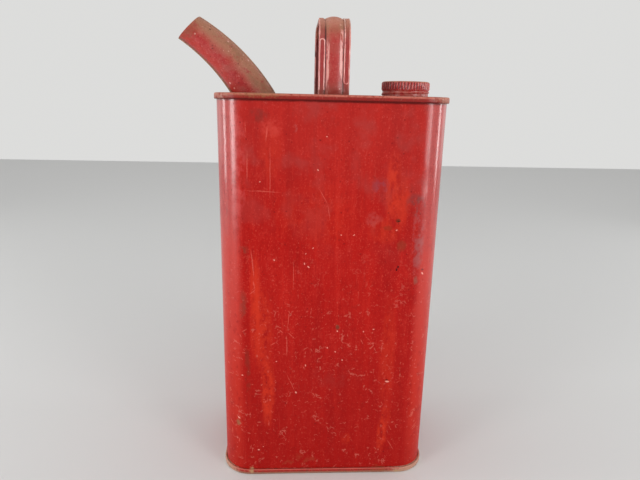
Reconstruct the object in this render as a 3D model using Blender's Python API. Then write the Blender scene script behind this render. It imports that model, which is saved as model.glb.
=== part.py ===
"""Five-litre sheet-metal fuel can with a pouring spout, a strap handle and a screw cap.

Metres, +Z up. The can stands on z = 0 with its wide front towards -Y and its spout
towards -X. The origin lies under the middle of the whole outline, spout included.
"""

import math

import bmesh
import bpy
from mathutils import Vector

# Sheet metal and the gaps between pieces
SHEET = 0.00035
SEAT_GAP = 0.0003

# Body: one sheet wrapped round, closed by a lock seam down the middle of the back
BODY_WIDTH = 0.170
BODY_DEPTH = 0.105
CAN_HEIGHT = 0.3115
CORNER_RADIUS = 0.022
CORNER_STEPS = 8
SIDE_SEAM_WIDTH = 0.006
SIDE_SEAM_MARGIN = 0.0015
SIDE_SEAM_LAYERS = 2

# Double seams that join the lid and the bottom to the body
SEAM_HEIGHT = 0.0045
RIM_STEPS = 6
HOOK_STEPS = 4

# Lid and bottom panels
LID_RECESS = 0.005
BOTTOM_RECESS = 0.0052
PANEL_FILLET = 0.0015
PANEL_FILLET_STEPS = 3
PANEL_STEP_INSET = 0.007
PANEL_STEP_HEIGHT = 0.0012
PANEL_STEP_RUN = 0.0015

# Spout: two pressed halves, soldered along their lips and on the lid
SPOUT_SHEET = 0.0006
SPOUT_BASE_X = -0.0580
SPOUT_LENGTH = 0.0723
SPOUT_BASE_LEAN = 30.0
SPOUT_MOUTH_LEAN = 59.0
SPOUT_BASE_RADIUS = 0.0145
SPOUT_MOUTH_RADIUS = 0.0103
SPOUT_MOUTH_RAKE = 15.0
SPOUT_SWING = 10.0
SPOUT_SETTLE_SHARE = 0.35
SPOUT_RAKE_SHARE = 0.2
SPOUT_FLANGE = 0.003
SPOUT_LIP = 0.0010
SPOUT_RINGS = 12
SPOUT_ARC_STEPS = 10
SPOUT_HOLE_LEDGE = 0.0012

# Handle: a strap with a raised middle rib and folded edges, spot-welded on the lid
HANDLE_SHEET = 0.0009
HANDLE_WIDTH = 0.0228
HANDLE_SPAN = 0.076
HANDLE_RISE = 0.0532
HANDLE_BEND = 0.017
HANDLE_BEND_STEPS = 7
FOOT_LENGTH = 0.009
FOOT_BEND = 0.0025
FOOT_BEND_STEPS = 3
FOOT_CHAMFER = 0.002
RIB_WIDTH = 0.0145
RIB_HEIGHT = 0.0018
RIB_FADE = 0.004
RIB_SHARES = (-1.0, -0.85, -0.55, -0.2, 0.2, 0.55, 0.85, 1.0)
HEM_WIDTH = 0.0044
HEM_RISE = 0.0006
HEM_LIFT = 0.0078
# Across a folded edge: share of its width, share of its height, whether in its middle
HEM_SHARES = (
    (0.0, 0.45, False),
    (0.06, 0.85, False),
    (0.2, 1.0, True),
    (0.8, 1.0, True),
    (0.94, 0.85, False),
    (1.0, 0.0, False),
)
# Along its round end: share of its width, height in the middle, height at its sides
HEM_END_SHARES = ((0.0, 0.0, 0.0), (0.1, 0.8, 0.15), (0.28, 1.0, 0.75), (0.55, 1.0, 1.0))

# Filler: a plain neck stands in the lid, and the screw cap goes over it
CAP_X = 0.0602
CAP_RADIUS = 0.0190
CAP_SHEET = 0.0006
CAP_TOP_RISE = 0.0117
CAP_HEIGHT = 0.0109
CAP_BEAD_INSET = 0.0004
KNURLS = 50
KNURL_DEPTH = 0.0005
GROOVE_DEPTH = 0.0008
EDGE_ROUND = 0.0014
THREAD_ROOM = 0.0009
NECK_SHEET = 0.0006
NECK_FLANGE = 0.0032
NECK_FILLET = 0.0008
NECK_TAIL = 0.0012
NECK_SIDES = 40
GASKET_THICKNESS = 0.002
GASKET_SIDES = 36

# Sizes that follow from the ones above
LAYER = SHEET + SEAT_GAP
SEAM_REACH = 3 * LAYER
LID_TOP = CAN_HEIGHT - LID_RECESS
SEAT_LEVEL = LID_TOP + SEAT_GAP
CAP_INNER_RADIUS = CAP_RADIUS - GROOVE_DEPTH - CAP_SHEET
NECK_RADIUS = CAP_INNER_RADIUS - THREAD_ROOM
CAP_TOP = CAN_HEIGHT + CAP_TOP_RISE
CAP_BASE = CAP_TOP - CAP_HEIGHT
GASKET_TOP = CAP_TOP - CAP_SHEET - SEAT_GAP
NECK_TOP = GASKET_TOP - GASKET_THICKNESS - SEAT_GAP
CUT_OVERRUN = 0.003

# Paints and bare stuff: colour, roughness, metallic
FINISHES = {
    "red_paint": ((0.42, 0.022, 0.018), 0.42, 0.0),
    "worn_red_paint": ((0.34, 0.045, 0.03), 0.55, 0.0),
    "seal_rubber": ((0.03, 0.027, 0.025), 0.85, 0.0),
}


def clear_scene():
    for old in list(bpy.data.objects):
        bpy.data.objects.remove(old, do_unlink=True)


def finish(name):
    """The named material, made the first time it is asked for."""
    found = bpy.data.materials.get(name)
    if found:
        return found
    colour, roughness, metallic = FINISHES[name]
    made = bpy.data.materials.new(name)
    made.use_nodes = True
    shader = made.node_tree.nodes["Principled BSDF"]
    shader.inputs["Base Color"].default_value = (*colour, 1.0)
    shader.inputs["Roughness"].default_value = roughness
    shader.inputs["Metallic"].default_value = metallic
    made.diffuse_color = (*colour, 1.0)
    return made


def add_piece(name, bm, material, parent, location=(0, 0, 0), swing=0):
    """Turn a bmesh into a smooth-shaded object with its faces pointing out."""
    bmesh.ops.recalc_face_normals(bm, faces=bm.faces)
    mesh = bpy.data.meshes.new(name)
    bm.to_mesh(mesh)
    bm.free()
    mesh.shade_smooth()
    mesh.set_sharp_from_angle(angle=math.radians(35))
    mesh.materials.append(finish(material))
    piece = bpy.data.objects.new(name, mesh)
    bpy.context.collection.objects.link(piece)
    piece.parent = parent
    piece.location = location
    piece.rotation_euler = (0, 0, math.radians(swing))
    return piece


def add_tool(name, bm, parent, location=(0, 0, 0), swing=0):
    """A shape that only cuts or joins another piece."""
    tool = add_piece(name, bm, "red_paint", parent, location, swing)
    tool.hide_render = True
    tool.display_type = "WIRE"
    return tool


def combine(piece, tool, operation):
    step = piece.modifiers.new(tool.name, "BOOLEAN")
    step.object = tool
    step.operation = operation
    step.solver = "EXACT"


def loft(rows, rows_meet=False):
    """A closed skin through rows of points, each row a closed loop.

    The first and last rows are joined when the rows meet, or else filled with a face.
    """
    bm = bmesh.new()
    loops = [[bm.verts.new(point) for point in row] for row in rows]
    pairs = list(zip(loops, loops[1:]))
    if rows_meet:
        pairs.append((loops[-1], loops[0]))
    for near, far in pairs:
        for i in range(len(near)):
            j = (i + 1) % len(near)
            bm.faces.new((near[i], near[j], far[j], far[i]))
    if not rows_meet:
        bm.faces.new(loops[0])
        bm.faces.new(loops[-1])
    return bm


def turn(centre, radius, start, end, steps):
    """A bend as the corners of a polygon drawn round its arc, so flats keep the radius."""
    half = (end - start) / (2 * steps)
    reach = radius / math.cos(math.radians(half))
    angles = [math.radians(start + half * (2 * k + 1)) for k in range(steps)]
    return [(centre[0] + reach * math.cos(a), centre[1] + reach * math.sin(a)) for a in angles]


def sheet_outline(line, thickness):
    """The two faces of a sheet whose middle runs along a line of (out, up) points."""
    left, right = [], []
    points = [Vector(p) for p in line]
    for i, here in enumerate(points):
        legs = []
        if i > 0:
            legs.append((here - points[i - 1]).normalized())
        if i < len(points) - 1:
            legs.append((points[i + 1] - here).normalized())
        heading = sum(legs, Vector((0, 0))).normalized()
        side = Vector((-heading.y, heading.x)) * thickness / 2 / heading.dot(legs[0])
        left.append(here + side)
        right.append(here - side)
    return left, right


def body_stations():
    """Corner centre and outward direction at each station round the can's body."""
    across = BODY_WIDTH / 2 - CORNER_RADIUS
    deep = BODY_DEPTH / 2 - CORNER_RADIUS
    stations = []
    for quarter, (sx, sy) in enumerate(((1, 1), (-1, 1), (-1, -1), (1, -1))):
        for step in range(CORNER_STEPS + 1):
            angle = math.radians(90 * (quarter + step / CORNER_STEPS))
            stations.append((sx * across, sy * deep, math.cos(angle), math.sin(angle)))
    return stations


def body_row(out, up):
    """A loop round the body, at a distance out from its wall and at a height."""
    reach = CORNER_RADIUS + out
    return [(cx + reach * dx, cy + reach * dy, up) for cx, cy, dx, dy in body_stations()]


def fold_centre():
    """Where the rim's folds turn, as (out from the wall, down from the rim's top)."""
    return SEAT_GAP + SHEET / 2, SHEET / 2 + 2 * LAYER


def hook_depth():
    """How far below the rim's top the lid's edge turns back under the body's hook."""
    return SEAM_HEIGHT - SHEET / 2 - LAYER


def body_shell_line():
    """Middle of the body's sheet, from its top hook over, down and out to its bottom one."""
    out, down = fold_centre()
    hook_out = out + LAYER
    hook_end = hook_depth() - SEAT_GAP
    top = [(hook_out, CAN_HEIGHT - hook_end)]
    top += turn((out, CAN_HEIGHT - down), LAYER, 0, 180, HOOK_STEPS)
    return top + [(x, CAN_HEIGHT - z) for x, z in reversed(top)]


def body_shell(frame):
    left, right = sheet_outline(body_shell_line(), SHEET)
    outline = left + right[::-1]
    rows = [body_row(point.x, point.y) for point in outline]
    shell = add_piece("body_shell", loft(rows, rows_meet=True), "red_paint", frame)
    combine(shell, side_seam(frame), "UNION")


def side_seam(frame):
    """The folded lock seam that stands proud down the middle of the back."""
    inner = BODY_DEPTH / 2 - SHEET / 2
    proud = BODY_DEPTH / 2 + SIDE_SEAM_LAYERS * SHEET
    half = SIDE_SEAM_WIDTH / 2
    section = [(-half, inner), (half, inner), (half, proud - SHEET), (half - SHEET, proud)]
    section += [(SHEET - half, proud), (-half, proud - SHEET)]
    levels = (SEAM_HEIGHT + SIDE_SEAM_MARGIN, CAN_HEIGHT - SEAM_HEIGHT - SIDE_SEAM_MARGIN)
    rows = [[(x, y, level) for x, y in section] for level in levels]
    return add_tool("side_seam_fold", loft(rows), frame)


def end_line(recess, step_height):
    """Middle of a lid's sheet as (out, down), from its panel to the tip of its hook."""
    out, down = fold_centre()
    wall = out - 2 * LAYER
    panel = recess + SHEET / 2
    bend = (wall - PANEL_FILLET, panel - PANEL_FILLET)
    start = bend[0] - PANEL_STEP_INSET
    line = [(start, panel)]
    if step_height:
        line = [
            (start - PANEL_STEP_RUN - SHEET, panel + step_height),
            (start - PANEL_STEP_RUN, panel + step_height),
            (start, panel),
        ]
    fillet = turn(bend, PANEL_FILLET, 90, 0, PANEL_FILLET_STEPS)
    over = turn((out, down), 2 * LAYER, 180, 360, RIM_STEPS)
    under = turn((out + LAYER, hook_depth()), LAYER, 0, 180, HOOK_STEPS)
    return line + fillet + over + under + [(out, down + SEAT_GAP)]


def end_solid(recess, step_height, level):
    """A lid with its seamed rim; level turns a depth below the rim's top into a height."""
    left, right = sheet_outline(end_line(recess, step_height), SHEET)
    rows = [body_row(point.x, level(point.y)) for point in left + right[::-1]]
    return loft(rows)


def lid_cutter(along, across, sides):
    """A short upright cutter through the lid, round or oval."""
    low, high = LID_TOP - SHEET - CUT_OVERRUN, LID_TOP + CUT_OVERRUN
    ring = [math.radians(360 * k / sides) for k in range(sides)]
    rows = [
        [(along * math.cos(a), across * math.sin(a), level) for a in ring]
        for level in (low, high)
    ]
    return loft(rows)


def top_end(frame):
    lid = add_piece(
        "top_end", end_solid(LID_RECESS, 0, lambda down: CAN_HEIGHT - down), "red_paint", frame
    )
    radius = NECK_RADIUS + SEAT_GAP
    neck_hole = add_tool("neck_hole", lid_cutter(radius, radius, NECK_SIDES), frame, (CAP_X, 0, 0))
    combine(lid, neck_hole, "DIFFERENCE")
    across = SPOUT_BASE_RADIUS - SPOUT_SHEET - SPOUT_HOLE_LEDGE
    along = across / math.cos(math.radians(SPOUT_BASE_LEAN))
    oval = lid_cutter(along, across, 2 * SPOUT_ARC_STEPS)
    spout_hole = add_tool("spout_hole", oval, frame, (SPOUT_BASE_X, 0, 0), SPOUT_SWING)
    combine(lid, spout_hole, "DIFFERENCE")


def bottom_end(frame):
    solid = end_solid(BOTTOM_RECESS, PANEL_STEP_HEIGHT, lambda down: down)
    add_piece("bottom_end", solid, "red_paint", frame)


def spout_stations():
    """Axis point, tilt, radius and slant of each ring, out from the middle of the base."""
    stations = []
    x, z = 0, SEAT_LEVEL
    stride = SPOUT_LENGTH / SPOUT_RINGS
    for ring in range(SPOUT_RINGS + 1):
        share = ring / SPOUT_RINGS
        lean = SPOUT_BASE_LEAN + share * (SPOUT_MOUTH_LEAN - SPOUT_BASE_LEAN)
        settle = min(1.0, share / SPOUT_SETTLE_SHARE)
        rake = SPOUT_MOUTH_RAKE * max(0.0, (share - 1 + SPOUT_RAKE_SHARE) / SPOUT_RAKE_SHARE)
        tilt = lean * settle - rake
        radius = SPOUT_BASE_RADIUS + share * (SPOUT_MOUTH_RADIUS - SPOUT_BASE_RADIUS)
        slant = 1 / math.cos(math.radians(lean - tilt))
        stations.append((x, z, math.radians(tilt), radius, slant))
        middle = math.radians(lean + (SPOUT_MOUTH_LEAN - SPOUT_BASE_LEAN) / (2 * SPOUT_RINGS))
        x -= stride * math.sin(middle)
        z += stride * math.cos(middle)
    return stations


def half_ring(along, across, lip, lip_thickness):
    """Half an oval as (along, aside) points, with an outward lip at both its ends."""
    start = math.asin(lip_thickness / across)
    sweep = math.pi - 2 * start
    arc = [start + sweep * k / SPOUT_ARC_STEPS for k in range(SPOUT_ARC_STEPS + 1)]
    points = [(along * math.cos(a), across * math.sin(a)) for a in arc]
    if lip:
        first = [(along + lip, 0), (along + lip, lip_thickness)]
    else:
        first = [(along, 0), (along * math.cos(start / 2), across * math.sin(start / 2))]
    last = [(-u, v) for u, v in reversed(first)]
    return first + points + last


def spout_ring(station, grow, lip, side, lift=0):
    """One half of a ring of the spout, in space; grow widens it from its outer face."""
    x, z, tilt, radius, slant = station
    half_gap = SEAT_GAP / 2
    flat = half_ring((radius + grow) * slant, radius + grow - half_gap, lip, SPOUT_SHEET)
    return [
        (x + u * math.cos(tilt), side * (half_gap + v), z + lift + u * math.sin(tilt))
        for u, v in flat
    ]


def spout_half(name, frame, side):
    stations = spout_stations()
    base = stations[0]
    loops = [spout_ring(s, -SPOUT_SHEET, 0, side) for s in reversed(stations)]
    loops.append(spout_ring(base, SPOUT_FLANGE, 0, side))
    loops.append(spout_ring(base, SPOUT_FLANGE, 0, side, SPOUT_SHEET))
    loops.append(spout_ring(base, 0, SPOUT_LIP, side, SPOUT_SHEET))
    loops += [spout_ring(s, 0, SPOUT_LIP, side) for s in stations[1:]]
    wall_sections = list(zip(*loops))
    place = (SPOUT_BASE_X, 0, 0)
    add_piece(name, loft(wall_sections), "worn_red_paint", frame, place, SPOUT_SWING)


def handle_path():
    """Outer face of the strap as (y, z, shares), from its front foot to its rear one.

    The shares say how much of the width, the rib, and the folded edges' middle and
    sides there is at each point.
    """
    leg = -HANDLE_SPAN / 2
    sole = SEAT_LEVEL + HANDLE_SHEET
    tip = leg - FOOT_LENGTH
    crown = CAN_HEIGHT + HANDLE_RISE
    hem_start = CAN_HEIGHT + HEM_LIFT
    chamfer_share = 1 - 2 * FOOT_CHAMFER / HANDLE_WIDTH
    ankle = turn((leg - FOOT_BEND, sole + FOOT_BEND), FOOT_BEND, -90, 0, FOOT_BEND_STEPS)
    shoulder_centre = (leg + HANDLE_BEND, crown - HANDLE_BEND)
    shoulder = turn(shoulder_centre, HANDLE_BEND, 180, 90, HANDLE_BEND_STEPS)
    path = [(tip, sole, (chamfer_share, 0, 0, 0)), (tip + FOOT_CHAMFER, sole, (1, 0, 0, 0))]
    path += [(y, z, (1, 0, 0, 0)) for y, z in ankle]
    path.append((leg, sole + FOOT_BEND + RIB_FADE, (1, 1, 0, 0)))
    for along, middle, sides in HEM_END_SHARES:
        path.append((leg, hem_start + HEM_WIDTH * along, (1, 1, middle, sides)))
    path += [(y, z, (1, 1, 1, 1)) for y, z in shoulder]
    return path + [(-y, z, shares) for y, z, shares in reversed(path)]


def headings(points):
    """Outward direction and stretch at each point of a bent line."""
    found = []
    for i, here in enumerate(points):
        legs = []
        if i > 0:
            legs.append((here - points[i - 1]).normalized())
        if i < len(points) - 1:
            legs.append((points[i + 1] - here).normalized())
        along = sum(legs, Vector((0, 0))).normalized()
        found.append((Vector((-along.y, along.x)), 1 / along.dot(legs[0])))
    return found


def strap_section(shares):
    """Section of the strap as (x, out) points: flat feet, a middle rib, folded edges."""
    width, rib, hem_middle, hem_sides = shares
    edge = HANDLE_WIDTH / 2 * width
    hem = []
    for across, up, in_middle in HEM_SHARES:
        raised = hem_middle if in_middle else hem_sides
        hem.append((HEM_WIDTH * across * width - edge, HEM_RISE * up * raised))
    crest = [(RIB_WIDTH / 2 * s, RIB_HEIGHT * rib * (1 - s * s)) for s in RIB_SHARES]
    outer = hem + crest + [(-x, out) for x, out in reversed(hem)]
    inner = [(-edge, 0)] + crest + [(edge, 0)]
    return outer + [(x, out - HANDLE_SHEET) for x, out in reversed(inner)]


def handle_strap(frame):
    path = handle_path()
    points = [Vector((y, z)) for y, z, _ in path]
    rows = []
    for point, (side, stretch), step in zip(points, headings(points), path):
        places = [(x, point + side * out * stretch) for x, out in strap_section(step[2])]
        rows.append([(x, place.x, place.y) for x, place in places])
    add_piece("handle_strap", loft(rows), "worn_red_paint", frame)


def ring_row(radius, level, sides):
    ring = [math.radians(360 * k / sides) for k in range(sides)]
    return [(radius * math.cos(a), radius * math.sin(a), level) for a in ring]


def filler_neck(frame):
    """A short sleeve through the lid, held by the flange that is soldered on it."""
    bore = NECK_RADIUS - NECK_SHEET
    flange_top = SEAT_LEVEL + NECK_SHEET
    tail = LID_TOP - SHEET - NECK_TAIL
    section = [(bore, tail), (NECK_RADIUS, tail), (NECK_RADIUS, SEAT_LEVEL)]
    section += [(NECK_RADIUS + NECK_FLANGE, SEAT_LEVEL), (NECK_RADIUS + NECK_FLANGE, flange_top)]
    section += [(NECK_RADIUS + NECK_FILLET, flange_top), (NECK_RADIUS, flange_top + NECK_FILLET)]
    section += [(NECK_RADIUS, NECK_TOP - NECK_SHEET / 2), (NECK_RADIUS - NECK_SHEET / 3, NECK_TOP)]
    section += [(bore + NECK_SHEET / 3, NECK_TOP), (bore, NECK_TOP - NECK_SHEET / 2)]
    rows = [ring_row(radius, level, NECK_SIDES) for radius, level in section]
    add_piece("filler_neck", loft(rows, rows_meet=True), "worn_red_paint", frame, (CAP_X, 0, 0))


def cap_gasket(frame):
    """A flat disc that the cap presses on the neck's edge."""
    radius = CAP_INNER_RADIUS - SEAT_GAP
    rows = [ring_row(radius, level, GASKET_SIDES) for level in (0, GASKET_THICKNESS)]
    place = (CAP_X, 0, GASKET_TOP - GASKET_THICKNESS)
    add_piece("cap_gasket", loft(rows), "seal_rubber", frame, place)


def knurl_row(radius, level):
    """A ring whose points go in and out by the knurls' depth."""
    row = []
    for k in range(2 * KNURLS):
        angle = math.radians(180 * k / KNURLS)
        reach = radius - KNURL_DEPTH * (k % 2)
        row.append((reach * math.cos(angle), reach * math.sin(angle), level))
    return row


# Heights on the cap's side, as shares of its height from its lower edge
CAP_LEVEL_SHARES = {
    "knurl_low": 0.42,
    "groove_high": 0.36,
    "groove_low": 0.28,
    "bead_high": 0.235,
    "bead_middle": 0.14,
    "bead_low": 0.04,
}


def filler_cap(frame):
    """A pressed cap: knurled band, groove and a bead along its lower edge."""
    level = {name: CAP_HEIGHT * share for name, share in CAP_LEVEL_SHARES.items()}
    bead = CAP_RADIUS - CAP_BEAD_INSET
    waist = CAP_RADIUS - GROOVE_DEPTH
    sides = 2 * KNURLS
    rows = [
        ring_row(CAP_RADIUS - EDGE_ROUND, CAP_HEIGHT, sides),
        ring_row(CAP_RADIUS - EDGE_ROUND / 3, CAP_HEIGHT - EDGE_ROUND / 3, sides),
        knurl_row(CAP_RADIUS, CAP_HEIGHT - EDGE_ROUND),
        knurl_row(CAP_RADIUS, level["knurl_low"]),
        ring_row(waist, level["groove_high"], sides),
        ring_row(waist, level["groove_low"], sides),
        ring_row((bead + waist) / 2, level["bead_high"], sides),
        ring_row(bead, level["bead_middle"], sides),
        ring_row((bead + waist) / 2, level["bead_low"], sides),
        ring_row(waist, 0, sides),
        ring_row(CAP_INNER_RADIUS, 0, sides),
        ring_row(CAP_INNER_RADIUS, CAP_HEIGHT - CAP_SHEET, sides),
    ]
    add_piece("filler_cap", loft(rows), "red_paint", frame, (CAP_X, 0, CAP_BASE))


def spout_reach():
    """How far the spout's mouth reaches past the middle of its base, along X."""
    swing = math.radians(SPOUT_SWING)
    mouth = spout_stations()[-1]
    rings = [spout_ring(mouth, 0, SPOUT_LIP, side) for side in (-1, 1)]
    return max(y * math.sin(swing) - x * math.cos(swing) for ring in rings for x, y, _ in ring)


def middle_of_outline():
    """How far the whole outline's middle lies from the body's, along X."""
    rim_end = BODY_WIDTH / 2 + SEAM_REACH
    return (SPOUT_BASE_X - spout_reach() + rim_end) / 2


def main():
    clear_scene()
    frame = bpy.data.objects.new("can_frame", None)
    bpy.context.collection.objects.link(frame)
    frame.location = (-middle_of_outline(), 0, 0)
    body_shell(frame)
    top_end(frame)
    bottom_end(frame)
    spout_half("spout_front_half", frame, -1)
    spout_half("spout_rear_half", frame, 1)
    handle_strap(frame)
    filler_neck(frame)
    cap_gasket(frame)
    filler_cap(frame)
    bpy.context.view_layer.update()


main()
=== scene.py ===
# %% [markdown]
# # An old red fuel can
# The real can is folded from tinplate: one sheet makes the walls, and a lid and a bottom
# are rolled onto it. A curved spout, a strap handle and a screw cap sit on the lid.
# Everything below is built around a measured frame, which gives the size and the place
# of every part in metres. The frame comes first, so that nothing has to be fitted later.

# %% Load the measured frame
import math

import bmesh
import bpy
from mathutils import Matrix, Vector, noise


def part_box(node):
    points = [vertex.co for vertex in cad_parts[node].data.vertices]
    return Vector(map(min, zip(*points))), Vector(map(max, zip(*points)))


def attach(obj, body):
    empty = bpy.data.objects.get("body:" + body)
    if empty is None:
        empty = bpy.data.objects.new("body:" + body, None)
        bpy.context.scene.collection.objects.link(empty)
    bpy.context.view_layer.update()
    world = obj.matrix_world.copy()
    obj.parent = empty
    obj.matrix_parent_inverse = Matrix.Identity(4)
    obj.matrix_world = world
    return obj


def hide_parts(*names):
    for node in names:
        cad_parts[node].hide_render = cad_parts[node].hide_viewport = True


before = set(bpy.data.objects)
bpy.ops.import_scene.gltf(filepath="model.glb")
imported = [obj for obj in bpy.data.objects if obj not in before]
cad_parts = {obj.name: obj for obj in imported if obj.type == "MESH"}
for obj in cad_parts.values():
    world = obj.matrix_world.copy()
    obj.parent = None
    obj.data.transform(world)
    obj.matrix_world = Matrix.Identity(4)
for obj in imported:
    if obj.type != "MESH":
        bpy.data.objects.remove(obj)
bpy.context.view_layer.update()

# %% [markdown]
# ## Sizes
# A few sizes drive the rest. The rim stands out from the wall by three layers of folded
# sheet, so the wall's own width is the rim's width less that reach on both sides. Working
# it out that way keeps the wall and the rim together if the frame ever changes.

# %% Driving sizes
MM = 0.001
RIM_LOW, RIM_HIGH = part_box("top_end")
RIM_REACH = 1.95 * MM
CORNER_RADIUS = 22 * MM
SHEET = 0.35 * MM
BODY_X = (RIM_LOW.x + RIM_HIGH.x) / 2
BODY_WIDTH = RIM_HIGH.x - RIM_LOW.x - 2 * RIM_REACH
BODY_DEPTH = RIM_HIGH.y - RIM_LOW.y - 2 * RIM_REACH
RIM_TOP = RIM_HIGH.z
LID_RECESS = 5 * MM
LID_TOP = RIM_TOP - LID_RECESS
SEAT = LID_TOP + 0.3 * MM
SPOUT_X = BODY_X - 58 * MM
SPOUT_SWING = 10
CAP_X = BODY_X + 60.2 * MM
CAP_RADIUS = 18.96 * MM
print("wall:", round(BODY_WIDTH / MM, 1), "by", round(BODY_DEPTH / MM, 1), "mm")

# %% [markdown]
# ## Camera, lamps and floor
# The camera stands where the photographer stood: 0.4 m in front, level with the rim and
# looking down by 15 degrees. Heading, pitch and roll are three turns that are multiplied
# together, from the last one made to the first.

# %% Camera
CAMERA_PLACE = Vector((-27.6 * MM + BODY_X, -417 * MM, 305.6 * MM))
CAMERA_HEADING = -0.0531
CAMERA_PITCH = 0.2654
CAMERA_ROLL = 0.0221
FOCAL_PIXELS = 503.83
PHOTO_WIDTH = 640

bpy.ops.object.camera_add()
camera = bpy.context.object
camera.matrix_world = (
    Matrix.Translation(CAMERA_PLACE) @ Matrix.Rotation(CAMERA_HEADING, 4, "Z")
    @ Matrix.Rotation(math.pi / 2 - CAMERA_PITCH, 4, "X") @ Matrix.Rotation(CAMERA_ROLL, 4, "Z"))
camera.data.sensor_width = 36
camera.data.lens = FOCAL_PIXELS / PHOTO_WIDTH * camera.data.sensor_width
camera.data.clip_start = 10 * MM
bpy.context.scene.camera = camera
bpy.context.scene.view_settings.view_transform = "Standard"
print("camera lens:", round(camera.data.lens, 2), "mm")

# %% [markdown]
# The can's round corners are four upright mirrors. In the photo each of them shows two
# bright lines, one from a window in front and to the side and one from a window behind.
# So tall lamps stand round the can, and each corner draws its own two lines. They end
# near the floor, which is why the lines fade downwards.

# %% Lamps
LAMP_DISTANCE = 1.3
# Each lamp: angle from the front in degrees, width, height and lower edge in m, power in W
LAMPS = {
    "window_left_front": (53, 0.38, 0.5, 0.08, 5.7),
    "window_left_side": (90, 0.16, 0.5, 0.08, 3.0),
    "window_right_front": (-43, 0.46, 0.5, 0.08, 6.7),
    "window_right_side": (-91, 0.12, 0.5, 0.08, 2.2),
    "room_left": (113, 0.60, 0.45, 0.12, 0.6),
    "room_right": (-118, 0.50, 0.45, 0.12, 0.4),
}
CEILING_PLACE, CEILING_SIZE, CEILING_POWER = Vector((BODY_X, 0.6, 2.5)), 8, 120
FRONT_PLACE, FRONT_SIZE, FRONT_POWER = Vector((BODY_X, -1.5, 1.1)), (1.0, 0.6), 1.2


def add_lamp(name, place, target, width, height, power):
    """A soft rectangular lamp at a place, facing a target."""
    place, target = Vector(place), Vector(target)
    bpy.ops.object.light_add(type="AREA", location=place)
    lamp = bpy.context.object
    lamp.name = name
    lamp.rotation_euler = (target - place).to_track_quat("-Z", "Y").to_euler()
    lamp.data.shape = "RECTANGLE"
    lamp.data.size = width
    lamp.data.size_y = height
    lamp.data.energy = power


for name, (angle, width, height, low, power) in LAMPS.items():
    level = low + height / 2
    x, y = -math.sin(math.radians(angle)), -math.cos(math.radians(angle))
    place = (BODY_X + LAMP_DISTANCE * x, LAMP_DISTANCE * y, level)
    add_lamp(name, place, (BODY_X, 0, level), width, height, power)
under_ceiling = (*CEILING_PLACE.xy, 0)
add_lamp("ceiling", CEILING_PLACE, under_ceiling, CEILING_SIZE, CEILING_SIZE, CEILING_POWER)
add_lamp("front", FRONT_PLACE, (BODY_X, 0, RIM_TOP / 2), *FRONT_SIZE, FRONT_POWER)
print("lamps:", len(LAMPS) + 2)

# %% [markdown]
# Materials and the world are made of nodes. Two small functions take care of the wiring:
# what they are given for an input is either linked to it or set on it.

# %% One node in one line
def fill(tree, node, given):
    """Link or set the inputs of a node, by name or by number."""
    for name, value in given.items():
        if hasattr(value, "is_linked"):
            tree.links.new(value, node.inputs[name])
        else:
            node.inputs[name].default_value = value


def make(tree, kind, given, output=0, **options):
    """Add a shader node and hand back one of its outputs."""
    node = tree.nodes.new("ShaderNode" + kind)
    for name, value in options.items():
        setattr(node, name, value)
    fill(tree, node, given)
    return node.outputs[output] if node.outputs else None


# %% [markdown]
# The floor is one pale plane. The world is a pale backdrop for the camera and for shiny
# reflections, and a dimmer grey for the light that falls on the can, so that a pale
# background doesn't wash out the red.

# %% Floor and world
FLOOR_SIZE = 4.4
FLOOR_ROUGHNESS = 0.8
PALE = (0.72, 0.72, 0.71, 1)
WHITE = (1, 1, 1, 1)
AMBIENT_STRENGTH = 0.15

bpy.ops.mesh.primitive_plane_add(size=FLOOR_SIZE, location=(0, 0, 0))
floor = bpy.context.object
floor.name = "floor"
floor_paint = bpy.data.materials.new("floor_paint")
floor_paint.use_nodes = True
floor_tree = floor_paint.node_tree
fill(floor_tree, floor_tree.nodes["Principled BSDF"], {
    "Base Color": PALE, "Roughness": FLOOR_ROUGHNESS})
floor.data.materials.append(floor_paint)

world = bpy.data.worlds.new("studio")
bpy.context.scene.world = world
world.use_nodes = True
sky = world.node_tree
sky.nodes.clear()
rays = sky.nodes.new("ShaderNodeLightPath").outputs
seen = make(sky, "Math", {0: rays["Is Camera Ray"], 1: rays["Is Glossy Ray"]},
            operation="ADD", use_clamp=True)
shown = make(sky, "Background", {"Color": PALE, "Strength": 1.0})
lit = make(sky, "Background", {"Color": WHITE, "Strength": AMBIENT_STRENGTH})
either = make(sky, "MixShader", {0: seen, 1: lit, 2: shown})
make(sky, "OutputWorld", {"Surface": either})
print("world:", len(sky.nodes), "nodes")

# %% [markdown]
# ## Paint
# The can has carried the same coat of red enamel for decades. It has faded in patches,
# gone brown where hands and fuel touched it, and collected dust on what faces up. So the
# paint is mixed in layers, as it aged: first the enamel, then fading, then wear and dirt.
# Scratches and patches are many, so one small node group draws a single stroke.

# %% A tool for one stroke
STROKE_INPUTS = (
    "X", "Z", "Along X", "Along Z", "Along Start",
    "Across X", "Across Z", "Across Start", "Fray", "Core")


def calculate(tree, operation, *values):
    """One step of arithmetic."""
    return make(tree, "Math", dict(enumerate(values)), operation=operation)


def smooth_ramp(tree, value, low, high):
    """0 at low, 1 at high and smooth between them."""
    given = {"Value": value, "From Min": low, "From Max": high}
    return make(tree, "MapRange", given, "Result", interpolation_type="SMOOTHSTEP")


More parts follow.
